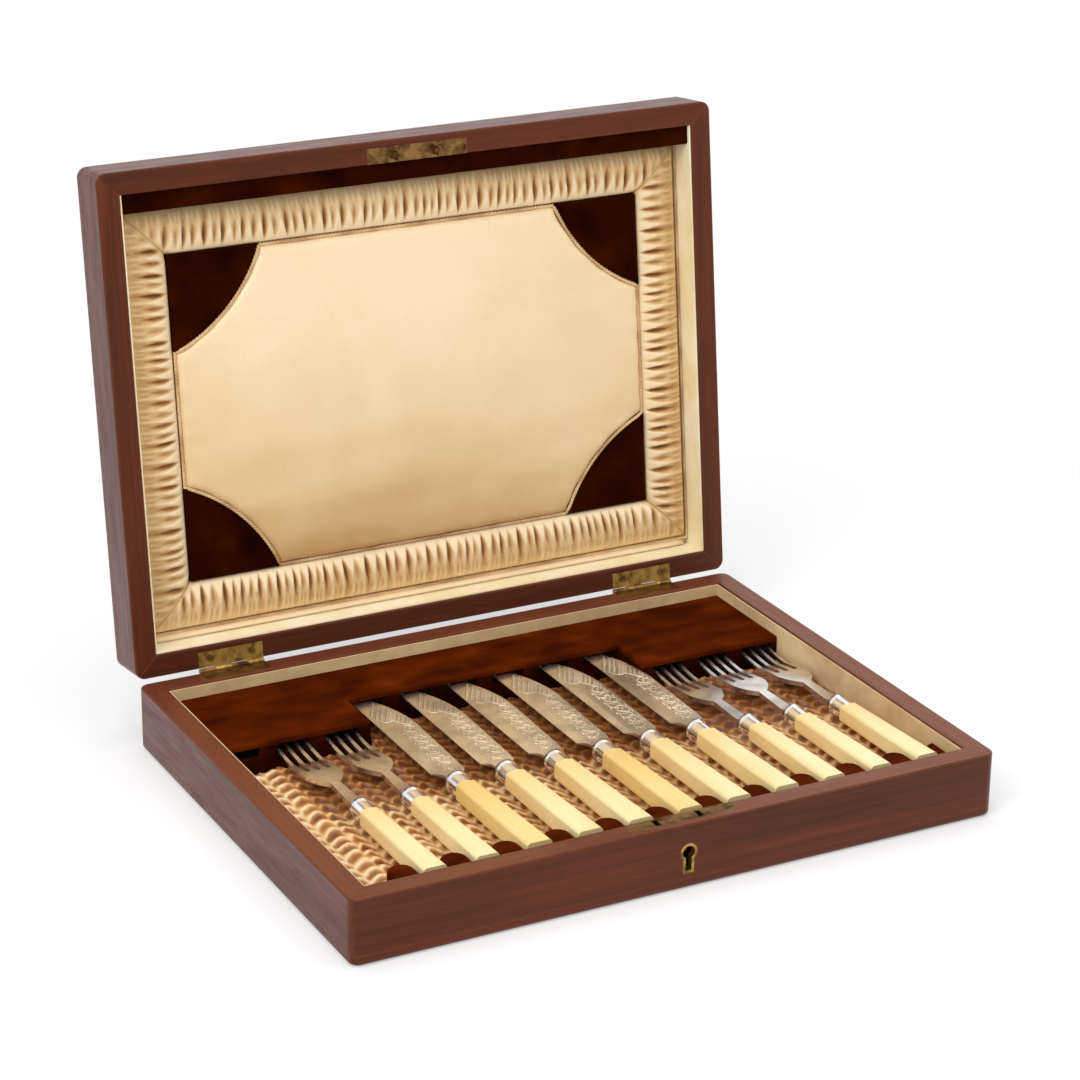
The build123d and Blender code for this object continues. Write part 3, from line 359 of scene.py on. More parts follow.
def dress(nodes, material, smooth_angle=None):
    """Gives CAD nodes their material, and rounds their shading below an angle where one is given."""
    for name in nodes:
        node = frame["nodes"][name]
        node.data.materials.clear()
        node.data.materials.append(material)
        if smooth_angle is not None:
            soften_shading(node, smooth_angle)


def soften_shading(piece, angle_degrees):
    """Joins loose triangles for shading and splits them again at sharp edges. The vertices stay where they are."""
    piece.data.polygons.foreach_set("use_smooth", [True] * len(piece.data.polygons))
    weld = piece.modifiers.new("join", "WELD")
    weld.merge_threshold = 0.001 * MM
    split = piece.modifiers.new("sharp_edges", "EDGE_SPLIT")
    split.split_angle = math.radians(angle_degrees)
    split.use_edge_sharp = False


# ---------------------------------------------------------------- meshes


def add_piece(name, mesh, body, material, stands_for=()):
    """Links a finished mesh as a piece that rides on a body."""
    piece = bpy.data.objects.new(name, mesh)
    bpy.context.scene.collection.objects.link(piece)
    mesh.materials.clear()
    mesh.materials.append(material)
    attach(piece, body)
    if stands_for:
        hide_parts(*stands_for)
    return piece


def grid_faces(shell, rows):
    """Fills rows of vertices with quads."""
    for near, far in zip(rows, rows[1:]):
        for left in range(len(near) - 1):
            shell.faces.new((near[left], near[left + 1], far[left + 1], far[left]))


def close_below(shell, level, spacing=6.0):
    """Carries every free edge down to a flat back. The wall gathers onto few points, so the back stays simple."""
    loose = {edge for edge in shell.edges if edge.is_boundary}
    while loose:
        edge = loose.pop()
        run = [edge.verts[0], edge.verts[1]]
        following = edge
        while following is not None:
            following = next((item for item in run[-1].link_edges if item in loose), None)
            if following is not None:
                loose.discard(following)
                run.append(following.other_vert(run[-1]))
        run.pop()
        feet = []
        travelled = spacing
        for index, vertex in enumerate(run):
            arriving = vertex.co.xy - run[index - 1].co.xy
            leaving = run[(index + 1) % len(run)].co.xy - vertex.co.xy
            travelled += arriving.length
            turning = arriving.length > 1e-6 and leaving.length > 1e-6 and arriving.angle(leaving) > 0.5
            if turning or travelled >= spacing:
                feet.append(shell.verts.new((vertex.co.x, vertex.co.y, level)))
                travelled = 0.0
            else:
                feet.append(feet[-1])
        for index in range(len(run)):
            after = (index + 1) % len(run)
            corners = [run[index], run[after], feet[after], feet[index]]
            if feet[after] is feet[index]:
                corners.pop()
            shell.faces.new(corners)
        shell.faces.new(list(dict.fromkeys(feet)))


def soft_mesh(name, shell, place=None):
    """Turns a shell in millimetres into a smooth mesh in metres with its faces outwards."""
    matrix = Matrix.Scale(MM, 4)
    if place is not None:
        matrix = place @ matrix
    bmesh.ops.transform(shell, matrix=matrix, verts=shell.verts)
    bmesh.ops.recalc_face_normals(shell, faces=shell.faces)
    for face in shell.faces:
        face.smooth = len(face.verts) == 4
    mesh = bpy.data.meshes.new(name)
    shell.to_mesh(mesh)
    shell.free()
    return mesh


def soft_vertex(shell, fold_layer, place, depth):
    """A vertex that remembers how deep in a fold it lies."""
    vertex = shell.verts.new(place)
    vertex[fold_layer] = min(1.0, max(0.0, depth))
    return vertex


def rounded_rise(distance, radius):
    """Height lost near a free edge with a rounded shoulder: radius at the edge, nothing further in."""
    if distance >= radius:
        return 0.0
    inside = max(0.0, radius - distance)
    return radius - math.sqrt(max(0.0, radius * radius - inside * inside))


def wander(first, second, third=0.0):
    """Smooth noise from -1 to 1."""
    return noise.noise(Vector((first, second, third)))


def steps(low, high, spacing):
    """Even places from low to high, about a spacing apart."""
    count = max(1, round((high - low) / spacing))
    return [low + (high - low) * index / count for index in range(count + 1)]


# ---- places in the shut lid ----
card_face = box_mm("lid_backing_card", SHUT_LID)[0].z
ruffle_low, ruffle_high = box_mm("lid_ruffle_border", SHUT_LID)
trim_low, trim_high = box_mm("lid_cord_trims", SHUT_LID)
# Carries (x, y, height over the backing card) to the open lid.
LID_FACE = OPEN_LID @ Matrix.Translation((0, 0, card_face * MM)) @ Matrix.Diagonal((1, 1, -1, 1))


class PanelOutline:
    """The lid's satin panel: a rectangle whose corners are bitten out by the velvet arcs."""

    def __init__(self, settings):
        width = settings.ruffle_width
        self.half_width = ruffle_high.x - width
        self.half_depth = (ruffle_high.y - ruffle_low.y) / 2 - width
        self.middle_y = (ruffle_high.y + ruffle_low.y) / 2
        half_chord = settings.corner_leg / math.sqrt(2)
        bulge = settings.corner_bulge
        self.radius = (half_chord**2 + bulge**2) / (2 * bulge)
        self.setback = (self.radius - bulge - half_chord) / math.sqrt(2)
        self.arc_x = self.half_width + self.setback
        self.arc_y = self.half_depth + self.setback

    def side(self, y, inset):
        """How far the panel reaches from its middle line at a height y."""
        rise = self.arc_y - abs(y)
        reach = self.radius + inset
        limit = self.half_width - inset
        if rise < reach:
            limit = min(limit, self.arc_x - math.sqrt(reach * reach - rise * rise))
        return limit

    def margin(self, x, y, inset):
        """Distance from a point inside to the outline."""
        to_arc = math.hypot(self.arc_x - abs(x), self.arc_y - abs(y)) - self.radius - inset
        return min(self.half_width - inset - abs(x), self.half_depth - inset - abs(y), to_arc)

    def ring(self, inset, spacing):
        """Closed run of points along the outline, counterclockwise."""
        reach = self.radius + inset
        first = math.acos((self.arc_x - self.half_width + inset) / reach)
        last = math.asin((self.arc_y - self.half_depth + inset) / reach)
        arc = []
        for angle in steps(first, last, -spacing / reach):
            arc.append((self.arc_x - reach * math.cos(angle), self.arc_y - reach * math.sin(angle)))
        points = []
        for x_side, y_side in ((1, 1), (-1, 1), (-1, -1), (1, -1)):
            run = arc if x_side == y_side else arc[::-1]
            points += [(x * x_side, y * y_side + self.middle_y) for x, y in run]
        return points


# ---------------------------------------------------------------- settings


def size(name, value, description):
    """A size in millimetres that the sidebar offers."""
    return bpy.props.FloatProperty(name=name, description=description, default=value, min=0.0)


def tone(name, value, description):
    """A colour in sRGB hex that the sidebar offers."""
    return bpy.props.StringProperty(name=name, description=description, default=value)


class ChestFinishSettings(bpy.types.PropertyGroup):
    """Colours of the chest's finishes."""

    wood_dark: tone("Wood, dark", "#32130C", "Pores and dark figure")
    wood_middle: tone("Wood", "#502217", "Body of the mahogany")
    wood_pale: tone("Wood, pale", "#642D1E", "Light figure")
    # The worn colour is also used for the tops painted paler by light from above: painted light.
    wood_worn: tone("Wood, worn", "#8E4F30", "Rubbed edges")
    # The deep and dark satin colours are painted shade in the folds and puckers.
    satin_deep: tone("Satin, deep", "#80501F", "Bottoms of the folds")
    satin_dark: tone("Satin in folds", "#BA8A4E", "Sides of the folds")
    satin_middle: tone("Satin", "#E6C591", "Body of the satin")
    satin_pale: tone("Satin, lit", "#FCE3BA", "Crests")
    floor_deep: tone("Floor satin, deep", "#6E3812", "Bottoms of the puckers")
    floor_dark: tone("Floor satin in folds", "#AE7238", "Sides of the puckers")
    floor_middle: tone("Floor satin", "#EEC890", "Body of the tray's satin")
    floor_pale: tone("Floor satin, lit", "#FFF5D8", "Ridges")
    velvet_dark: tone("Velvet, dark", "#2C0800", "Pile end on")
    velvet_middle: tone("Velvet", "#4E1900", "Body of the velvet")
    velvet_lit: tone("Velvet, lit", "#6A2A04", "Crushed pile")
    ivory_deep: tone("Handles, deep", "#DDBE72", "Aged celluloid")
    ivory_middle: tone("Handles", "#F2D084", "Body of the celluloid")
    ivory_pale: tone("Handles, pale", "#FFEDB6", "Light laminations")


class ChestFloorSettings(bpy.types.PropertyGroup):
    """The ruched satin floor of the tray."""

    bay_pitch: size("Bay", 25.6, "From one piece of cutlery to the next")
    columns_per_bay: bpy.props.IntProperty(name="Columns", description="Gathered columns in a bay", default=3)
    pucker_pitch: size("Pucker pitch", 8.4, "From one pucker to the next")
    pucker_height: size("Pucker height", 1.9, "Crest over hollow")
    bow: size("Bow", 3.4, "How far a pucker arches to the rear")
    lift: size("Lift", 2.0, "How far the satin puffs up between the pieces")
    grid: size("Grid", 0.8, "Spacing of the mesh")
    rear_step_x: size("Step", 74.8, "Half width of the deeper part under the knives")
    fork_rear: size("Rear edge at the forks", 43.5, "Distance behind the middle")


class ChestRuffleSettings(bpy.types.PropertyGroup):
    """The pleated satin border of the lid."""

    pleat_pitch: size("Pleat pitch", 5.2, "Between pleats")
    pleat_depth: size("Pleat depth", 2.8, "Crest over valley")
    edge_height: size("Edge height", 4.6, "Of the roll's edges over the backing card")
    crown: size("Crown", 5.2, "Rise of the roll over its edges")
    grid: size("Grid", 0.65, "Spacing of the mesh")


class ChestPanelSettings(bpy.types.PropertyGroup):
    """The padded panel, the velvet corners and the cords of the lid."""

    ruffle_width: size("Ruffle width", 23.3, "Of the pleated border")
    corner_leg: size("Corner leg", 47.0, "Straight side of a velvet corner")
    corner_bulge: size("Corner bulge", 7.0, "Rise of its arc over the chord")
    corner_height: size("Corner height", 7.0, "Velvet over the backing card")
    cord: size("Cord", 1.8, "Thickness of the panel's cord")
    edge_cord: size("Edge cord", 1.2, "Thickness of the thin cord")
    edge_height: size("Edge height", 7.5, "Of the panel's edge over the backing card")
    crown: size("Crown", 2.6, "Rise of the panel over its edge")
    grid: size("Grid", 1.4, "Spacing of the mesh")


class ChestEngravingSettings(bpy.types.PropertyGroup):
    """Bright-cut scrolls on the knife blades."""

    cut_width: size("Cut width", 1.2, "Width of an engraved cut")
    scroll_length: size("Scroll length", 12.5, "From one scroll to the next on the same side")
    start: size("Start", 13.0, "From the ferrule")
    end: size("End", 66.0, "From the ferrule")
    cusp: size("Cusp", 74.0, "From the ferrule to where the fluted tip begins")
    flutes: bpy.props.IntProperty(name="Flutes", description="Fluted lines at the tip", default=13)


class ChestStageSettings(bpy.types.PropertyGroup):
    """Camera and light."""

    azimuth: bpy.props.FloatProperty(name="Azimuth", description="Round Z", default=math.radians(-28), subtype="ANGLE")
    elevation: bpy.props.FloatProperty(
        name="Elevation", description="Above level", default=math.radians(21.75), subtype="ANGLE"
    )
    roll: bpy.props.FloatProperty(name="Roll", description="Of the camera", default=math.radians(0.76), subtype="ANGLE")
    distance: bpy.props.FloatProperty(name="Distance", description="Camera to target", default=1.508, unit="LENGTH")
    lens: bpy.props.FloatProperty(name="Lens", description="Focal length", default=108.475, unit="CAMERA")
    target: bpy.props.FloatVectorProperty(
        name="Target", description="Point looked at", default=(-0.0100, 0.0029, 0.1241), subtype="TRANSLATION"
    )


# ---------------------------------------------------------------- wood, brass, velvet and silk


class ChestWood(bpy.types.Operator):
    """Gives the case and the lid their mahogany, with the grain along each board"""

    bl_idname = "chest.wood"
    bl_label = "Mahogany case"

    def execute(self, context):
        tones = context.scene.chest_finish
        colours = (tones.wood_dark, tones.wood_middle, tones.wood_pale, tones.wood_worn)
        quarter = math.pi / 2
        turned_back = -lid_angle
        along = finish("mahogany_along_front", mahogany, (0, 0, 0), colours, True)
        across = finish("mahogany_along_sides", mahogany, (0, 0, quarter), colours, True)
        lid_along = finish("mahogany_lid_along_front", mahogany, (turned_back, 0, 0), colours)
        lid_across = finish("mahogany_lid_along_sides", mahogany, (turned_back, 0, quarter), colours)
        dress(("base_front_wall", "base_back_wall", "bottom_board"), along, 30)
        dress(("base_left_wall", "base_right_wall"), across, 30)
        dress(("lid_front_wall", "lid_back_wall", "lid_top_board"), lid_along, 30)
        dress(("lid_left_wall", "lid_right_wall"), lid_across, 30)
        dress(("floor_card",), finish("pasteboard", pasteboard, "#8E8069", "#6F5A3E"))
        pine_tones = ("#7A5632", "#A37C4E", "#B8925F", "#C3A06E")
        dress(("tip_rail_cleat",), finish("sawn_pine", mahogany, (0, 0, 0), pine_tones))
        return {"FINISHED"}


class ChestMetal(bpy.types.Operator):
    """Gives the hinges, the lock and the keyhole their brass"""

    bl_idname = "chest.metal"
    bl_label = "Brass fittings"

    def execute(self, context):
        plate = finish("tarnished_brass", brass, "#6A4A22", "#BA9854")
        # A darker copy of the brass: painted shade on the hinge's base leaves, and darker colour on the lock's plates.
        dark_plate = finish("browned_brass", brass, "#4A3018", "#8E6A40")
        screws = finish("brass_screws", brass, "#553A1E", "#94703E")
        steel = finish("steel_pin", silver_plate, "#5A5650", "#8C8882", 0.35)
        dress(("hinge_lid_leaves", "keyhole_escutcheon"), plate, 30)
        dress(("hinge_base_leaves", "lock_top_plate", "lock_link_plate", "lock_case", "lock_bolt"), dark_plate, 30)
        dress(("hinge_base_screws", "hinge_lid_screws", "lock_screws", "link_plate_screws"), screws, 40)
        dress(("hinge_pins",), steel, 30)
        return {"FINISHED"}


class ChestVelvet(bpy.types.Operator):
    """Covers the rails and the lid's front batten in velvet and the other walls in silk"""

    bl_idname = "chest.velvet"
    bl_label = "Velvet rails and linings"

    def execute(self, context):
        pile = rust_velvet(context)
        dress(("tip_rail_top", "handle_rail_bar", "front_velvet_strip"), pile, 50)
        # The upright rail front and the batten get the darker copy of the velvet: painted shade.
        dress(("tip_rail_front", "lid_velvet_batten"), shaded_velvet(), 50)
        dress(("base_lining_strips",), finish("aged_cream_silk", silk_lining, "#C09C70", "#E4C896"))
        # The lid's lining and backing card get a paler copy of the silk than the tray's lining: painted light, since
        # the lid's lining faces up when the lid is open.
        cream = finish("cream_silk", silk_lining, "#F4DEA8", "#FFF8DA")
        dress(("lid_lining_strips", "lid_backing_card"), cream, 30)
        shell = bmesh.new()
        low, high = box_mm("handle_rail_tongues")
        pitch = context.scene.chest_floor.bay_pitch
        count = round((high.x - low.x) / pitch)
        for gap in range(count + 1):
            middle = (gap - count / 2) * pitch
            left = max(middle - 6.2, low.x)
            right = min(middle + 6.2, high.x)
            self.tongue(shell, left, right, low, high)
        mesh = soft_mesh("velvet_tongues", shell)
        add_piece("velvet_tongues", mesh, "base", pile, ("handle_rail_tongues",))
        return {"FINISHED"}

    def tongue(self, shell, left, right, low, high):
        """A padded tongue with a round rear end and a soft shoulder."""
        whole = right - left > 12.0
        radius = (right - left) / 2 if whole else right - left
        plan = []
        for turn in range(17):
            angle = math.pi * turn / 16
            if whole:
                plan.append(((left + right) / 2 + radius * math.cos(angle), high.y - radius + radius * math.sin(angle)))
        if not whole:
            outer = left if left <= low.x + 0.01 else right
            inner = right if outer == left else left
            for turn in range(9):
                angle = math.pi / 2 * turn / 8
                away = (inner - outer) * math.cos(angle)
                plan.append((outer + away, high.y - radius + radius * math.sin(angle)))
            if inner < outer:
                plan = plan[::-1]
        plan = [(right, low.y)] + plan + [(left, low.y)]
        middle = ((left + right) / 2, (low.y + high.y) / 2)
        shoulder = 1.8
        rings = []
        levels = [(0.0, low.z), (0.0, high.z - shoulder)]
        for turn in (22.5, 45.0, 67.5, 90.0):
            angle = math.radians(turn)
            levels.append((shoulder * (1 - math.cos(angle)), high.z - shoulder + shoulder * math.sin(angle)))
        for inset, height in levels:
            ring = []
            for x, y in plan:
                reach = math.hypot(x - middle[0], y - middle[1])
                share = 1 - inset / reach
                point = (middle[0] + (x - middle[0]) * share, middle[1] + (y - middle[1]) * share, height)
                ring.append(shell.verts.new(point))
            rings.append(ring)
        for below, above in zip(rings, rings[1:]):
            for index in range(len(plan)):
                after = (index + 1) % len(plan)
                shell.faces.new((below[index], below[after], above[after], above[index]))
        shell.faces.new(rings[0][::-1])
        shell.faces.new(rings[-1])


def rust_velvet(context):
    tones = context.scene.chest_finish
    return finish("rust_velvet", velvet, tones.velvet_dark, tones.velvet_middle, tones.velvet_lit)


def shaded_velvet():
    """A darker copy of the velvet for the upright faces and the corner pads: painted shade."""
    return finish("rust_velvet_end_on", velvet, "#150300", "#2C0A00", "#461504")


def champagne_satin(context):
    tones = context.scene.chest_finish
    colours = (tones.satin_deep, tones.satin_dark, tones.satin_middle, tones.satin_pale)
    return finish("champagne_satin", satin, *colours)


# ---------------------------------------------------------------- soft goods


class ChestSatinFloor(bpy.types.Operator):
    """Makes the tray's floor of gathered satin, in columns of small bowed puckers"""

    bl_idname = "chest.satin_floor"
    bl_label = "Ruched satin floor"

    def execute(self, context):
        self.settings = context.scene.chest_floor
        self.low, self.high = box_mm("satin_floor")
        shell = bmesh.new()
        fold = shell.verts.layers.float.new("fold")
        across = steps(self.low.x, self.high.x, self.settings.grid)
        shallow = steps(self.low.y, self.settings.fork_rear, self.settings.grid)
        deep = steps(self.settings.fork_rear, self.high.y, self.settings.grid)[1:]
        grid = [[self.vertex(shell, fold, x, y) for x in across] for y in shallow]
        grid_faces(shell, grid)
        inner = [index for index, x in enumerate(across) if abs(x) <= self.settings.rear_step_x]
        rear = [[grid[-1][index] for index in inner]]
        rear += [[self.vertex(shell, fold, across[index], y) for index in inner] for y in deep]
        grid_faces(shell, rear)
        close_below(shell, self.low.z)
        mesh = soft_mesh("ruched_satin_floor", shell)
        tones = context.scene.chest_finish
        colours = (tones.floor_deep, tones.floor_dark, tones.floor_middle, tones.floor_pale)
        # The floor has its own copy of the satin, paler on the ridges and darker in the hollows than the lid's: painted
        # light and painted shade.
        silk = finish("champagne_satin_of_the_floor", satin, *colours)
        piece = add_piece("ruched_satin_floor", mesh, "base", silk, ("satin_floor",))
        return {"FINISHED"}

    def vertex(self, shell, fold, x, y):
        height, depth = self.surface(x, y)
        return soft_vertex(shell, fold, (x, y, height), depth)

    def surface(self, x, y):
        """Height and fold depth: thin ridges bowed to the rear, with a lens-shaped hollow in front of each."""
        settings = self.settings
        width = settings.bay_pitch / settings.columns_per_bay
        along = (x + 200.0 * width) / width + 0.16 * wander(x * 0.03, y * 0.06, 3.1)
        column = math.floor(along)
        across = 2 * (along - column) - 1
        belly = 1 - across * across
        bow = settings.bow * (0.8 + 0.6 * wander(column * 1.9, y * 0.05))
        lean = 1.8 * wander(column * 2.7, y * 0.08, 1.0) * across
        drift = 3.0 * wander(column * 0.77, y * 0.06, 5.0)
        phase = (y - bow * belly - lean + drift) / settings.pucker_pitch + 9.7 * wander(column * 3.1, 0.5, 2.0)
        number = math.floor(phase)
        step = phase - number
        # From a ridge the cloth sinks slowly to the rear and then climbs steeply to the next one.
        deepest = 0.70
        if step < deepest:
            hollow = math.sin(math.pi / 2 * step / deepest) ** 1.5
        else:
            hollow = math.cos(math.pi / 2 * (step - deepest) / (1 - deepest)) ** 1.2
        lens = hollow * belly**0.6
        strength = 0.9 + 0.5 * wander(column * 1.3, number * 1.7, 4.0)
        # It may puff up between the pieces, and under the thin blades and tines, but not under the handles.
        bay = x / settings.bay_pitch - 0.5
        off_axis = abs(bay - round(bay)) * settings.bay_pitch
        puff = settings.lift * min(1.0, max(0.0, (off_axis - 6.3) / 4.0))
        puff = max(puff, 0.9 * min(1.0, max(0.0, (y + 16.0) / 12.0)))
        wrinkle = wander(x * 0.5, y * 0.35, 9.0)
        level = self.high.z - 0.25 - 0.9 * (1 - belly**0.5) - settings.pucker_height * strength * lens
        level = min(level + 0.3 * wrinkle, self.high.z - 0.05) + puff
        # The colour is painted darker in the hollows and where columns meet: painted shade. It is painted darker still
        # among the pieces, and most beside the blades: painted shade.
        shade_among_pieces = min(1.0, max(0.0, (x + 134.0) / 10.0))
        shade_beside_blades = min(1.0, max(0.0, (y + 22.0) / 14.0))
        depth = 0.02 + 0.84 * strength * lens**0.9 + 0.15 * (1 - belly) ** 2 + 0.10 * wrinkle
        depth += shade_among_pieces * (0.12 + 0.42 * shade_beside_blades)
        rear = self.high.y if abs(x) <= settings.rear_step_x else settings.fork_rear
        edge = min(y - self.low.y, rear - y)
        if y > settings.fork_rear:
            edge = min(edge, settings.rear_step_x - abs(x) + 0.4)
        return level - rounded_rise(max(edge, 0.0), 2.5), depth


class ChestRuffle(bpy.types.Operator):
    """Makes the four pleated satin rolls of the lid, mitred at the corners"""

    bl_idname = "chest.ruffle"
    bl_label = "Ruffled border"

    def execute(self, context):
        settings = context.scene.chest_ruffle
        self.width = context.scene.chest_panel.ruffle_width
        shell = bmesh.new()
        self.fold = shell.verts.layers.float.new("fold")
        across_x = ruffle_high.x - ruffle_low.x
        across_y = ruffle_high.y - ruffle_low.y
        quarter = math.pi / 2
        runs = (
            (across_x, ruffle_low.x, ruffle_low.y, 0.0),
            (across_y, ruffle_high.x, ruffle_low.y, quarter),
            (across_x, ruffle_high.x, ruffle_high.y, 2 * quarter),
            (across_y, ruffle_low.x, ruffle_high.y, 3 * quarter),
        )
        for number, (length, x, y, turn) in enumerate(runs):
            self.roll(shell, settings, length, Matrix.Translation((x, y, 0)) @ Matrix.Rotation(turn, 4, "Z"), number)
        # Below the rear roll the cloth runs on up to the lining, and fills the corner there.
        apron = []
        for out in (0.4, 1.6, 2.8, 4.0):
            level = 2.6 + 0.9 * out
            row = steps(ruffle_low.x + 2, ruffle_high.x - 2, 4.0)
            apron.append([soft_vertex(shell, self.fold, (x, ruffle_high.y + out, level), 0.0) for x in row])
        grid_faces(shell, apron)
        close_below(shell, 0.0)
        mesh = soft_mesh("ruffled_satin_border", shell, LID_FACE)
        piece = add_piece(
            "ruffled_satin_border", mesh, "lid", champagne_satin(context), ("lid_ruffle_border",)
        )
        return {"FINISHED"}

    def roll(self, shell, settings, length, place, seed):
        """One roll: uneven pleats that open into flat teeth along the panel, every second fold long and deep."""
        chance = random.Random(40 + seed)
        valleys = [-4.0]
        while valleys[-1] < length + 8:
            valleys.append(valleys[-1] + settings.pleat_pitch * chance.uniform(0.72, 1.28))
        depths = [chance.uniform(0.75, 1.0) if place % 2 else chance.uniform(0.25, 0.6) for place in range(len(valleys))]
        columns = round(length / settings.grid)
        grid = []
        for across in steps(0.0, self.width, settings.grid * 1.3):
            near = across + 0.1
            line = []
            for index in range(columns + 1):
                along = near + (length - 2 * near) * index / columns
                height, depth = self.surface(settings, along, across, length, valleys, depths, seed)
                line.append(soft_vertex(shell, self.fold, place @ Vector((along, across, height)), depth))
            grid.append(line)
        grid_faces(shell, grid)

    def surface(self, settings, along, across, length, valleys, depths, seed):
        """Height and fold depth of a roll at a point along and across it."""
        share = across / self.width
        arch = settings.edge_height + settings.crown * (1 - abs(2 * share - 1) ** 2.4)
        lean = 2.6 * wander(along * 0.018, seed * 3.3) * (share - 0.5)
        moved = along + lean + 0.7 * wander(along * 0.06, share * 1.6, seed * 9.0)
        index = 0
        while valleys[index + 1] < moved:
            index += 1
        step = (moved - valleys[index]) / (valleys[index + 1] - valleys[index])
        off = abs(2 * step - 1)
        strong = depths[index] if step < 0.5 else depths[index + 1]
        # A tooth is a flat face that widens from its point, half way across, to the whole pitch at the panel.
        apex = 0.40 + 0.14 * wander(index * 1.7, seed * 2.0)
        half = min(1.0, max(0.0, (share - apex) / (1.02 - apex)))
        face = min(1.0, max(0.0, (half - off) / 0.22 + 0.5)) if half > 0 else 0.0
        ground = math.exp(-(((share - 0.62) / 0.27) ** 2)) * (1 - face) * min(1.0, (1 - share) / 0.18)
        cleft = off ** (2.0 + 3.0 * (1 - share))
        tail = min(1.0, share / 0.14) * (1 - face) * min(1.0, (1 - share) / 0.22)
        fine = (0.5 - 0.5 * math.cos(4 * math.pi * step)) * math.exp(-(((share - 0.24) / 0.16) ** 2))
        mitre = min(1.0, max(0.0, min(along - across, length - across - along) / 4.0))
        folds = ground * (0.35 + 0.65 * cleft * (0.4 + 0.6 * strong)) + 0.55 * tail * cleft * strong**2 + 0.36 * fine
        stitched = max(0.0, 0.16 - share) / 0.16
        gather = stitched * abs(math.sin(math.pi * moved / 2.8))
        drop = (settings.pleat_depth * folds + 0.6 * gather) * mitre
        # The colour is painted darker in the folds, the stitched gathers, the outer part of the roll and the mitres:
        # painted shade.
        outer = 0.10 * min(1.0, max(0.0, (0.62 - share) / 0.3))
        depth = outer + (0.86 * folds + 0.12 * gather) * mitre + 0.35 * (1 - mitre)
        height = arch - drop - 1.2 * (1 - mitre) - rounded_rise(across, 1.5) - rounded_rise(self.width - across, 0.5)
        return height, depth + 0.04 * wander(along * 0.3, across * 0.3, 7.0)


class ChestPanel(bpy.types.Operator):
    """Makes the padded satin panel in the middle of the lid"""

    bl_idname = "chest.panel"
    bl_label = "Padded panel"

    def execute(self, context):
        settings = context.scene.chest_panel
        outline = PanelOutline(settings)
        inset = settings.cord * 0.6
        shell = bmesh.new()
        fold = shell.verts.layers.float.new("fold")
        reach = outline.half_depth - inset
        columns = round(2 * outline.half_width / settings.grid)
        grid = []
        for y in steps(-reach, reach, settings.grid):
            side = outline.side(y, inset)
            row = []
            for index in range(columns + 1):
                share = -math.cos(math.pi * index / columns) * 0.35 + (2 * index / columns - 1) * 0.65
                x = share * side
                height = self.height(settings, outline, x, y, inset)
                # The colour is painted darker towards the hinges and the sides, most in the corner on the left, with
                # faint streaks there: painted shade.
                down = 0.5 + 0.5 * y / reach
                left = 0.5 - 0.5 * x / outline.half_width
                depth = 0.01 + 0.42 * down**3 + 0.12 * down**3 * left + 0.05 * abs(x / outline.half_width) ** 3
                depth += 0.10 * down**2 * wander(x * 0.012, y * 0.07 + x * 0.004, 2.0)
                row.append(soft_vertex(shell, fold, (x, y + outline.middle_y, height), depth))
            grid.append(row)
        grid_faces(shell, grid)
        close_below(shell, 0.0)
        mesh = soft_mesh("padded_satin_panel", shell, LID_FACE)
        piece = add_piece("padded_satin_panel", mesh, "lid", champagne_satin(context), ("lid_center_pad",))
        return {"FINISHED"}

    def height(self, settings, outline, x, y, inset):
        """A low crown with a soft shoulder, small puckers where the edge is tacked down and a few long creases."""
        wide = 1 - (x / outline.half_width) ** 2
        deep = 1 - (y / outline.half_depth) ** 2
        crown = settings.crown * min(1.0, 1.15 * (wide * deep) ** 0.6)
        margin = outline.margin(x, y, inset)
        shoulder = rounded_rise(max(margin, 0.0), 4.0)
        near_edge = math.exp(-max(margin, 0.0) / 6.0)
        around = math.atan2(y * 1.6, x) * 42.0
        pucker = 0.35 * near_edge * math.sin(around + 4 * wander(x * 0.03, y * 0.03))
        crease = 0.35 * wander(x * 0.012 + y * 0.02, y * 0.012 - x * 0.004, 5.0)
        slack = 0.5 * wander(x * 0.014, y * 0.075 + x * 0.004, 2.0) * (0.5 + 0.5 * y / outline.half_depth) ** 2
        return settings.edge_height + crown - shoulder + pucker + crease + slack - 0.3


class ChestVelvetCorners(bpy.types.Operator):
    """Makes the four flat velvet corner pads of the lid"""

    bl_idname = "chest.velvet_corners"
    bl_label = "Velvet corners"

    def execute(self, context):
        settings = context.scene.chest_panel
        outline = PanelOutline(settings)
        shell = bmesh.new()
        for x_side in (-1, 1):
            for y_side in (-1, 1):
                self.corner(shell, settings, outline, x_side, y_side)
        close_below(shell, 0.0)
        mesh = soft_mesh("velvet_corner_pads", shell, LID_FACE)
        # The corner pads get the darker copy of the velvet: painted shade.
        piece = add_piece("velvet_corner_pads", mesh, "lid", shaded_velvet(), ("lid_corner_pads",))
        return {"FINISHED"}

    def corner(self, shell, settings, outline, x_side, y_side):
        radius = outline.radius + 0.6
        centre = -outline.setback
        leg = math.sqrt(radius**2 - (0.3 - centre) ** 2) + centre - 0.3
        grid = []
        for down in steps(0.3, leg, 1.0):
            limit = math.sqrt(max(0.0, radius**2 - (down - centre) ** 2)) + centre
            row = []
            for index in range(33):
                over = 0.3 + (limit - 0.3) * index / 32
                to_arc = radius - math.hypot(down - centre, over - centre)
                margin = max(0.0, min(down - 0.3, over - 0.3, to_arc))
                height = settings.corner_height - 0.1 - rounded_rise(margin, 0.9)
                height += 0.25 * wander(down * 0.12 * x_side, over * 0.12 * y_side, 8.0) * min(1.0, margin / 3)
                x = x_side * (outline.half_width - over)
                y = y_side * (outline.half_depth - down) + outline.middle_y
                row.append(shell.verts.new((x, y, height)))
            grid.append(row)
        grid_faces(shell, grid)


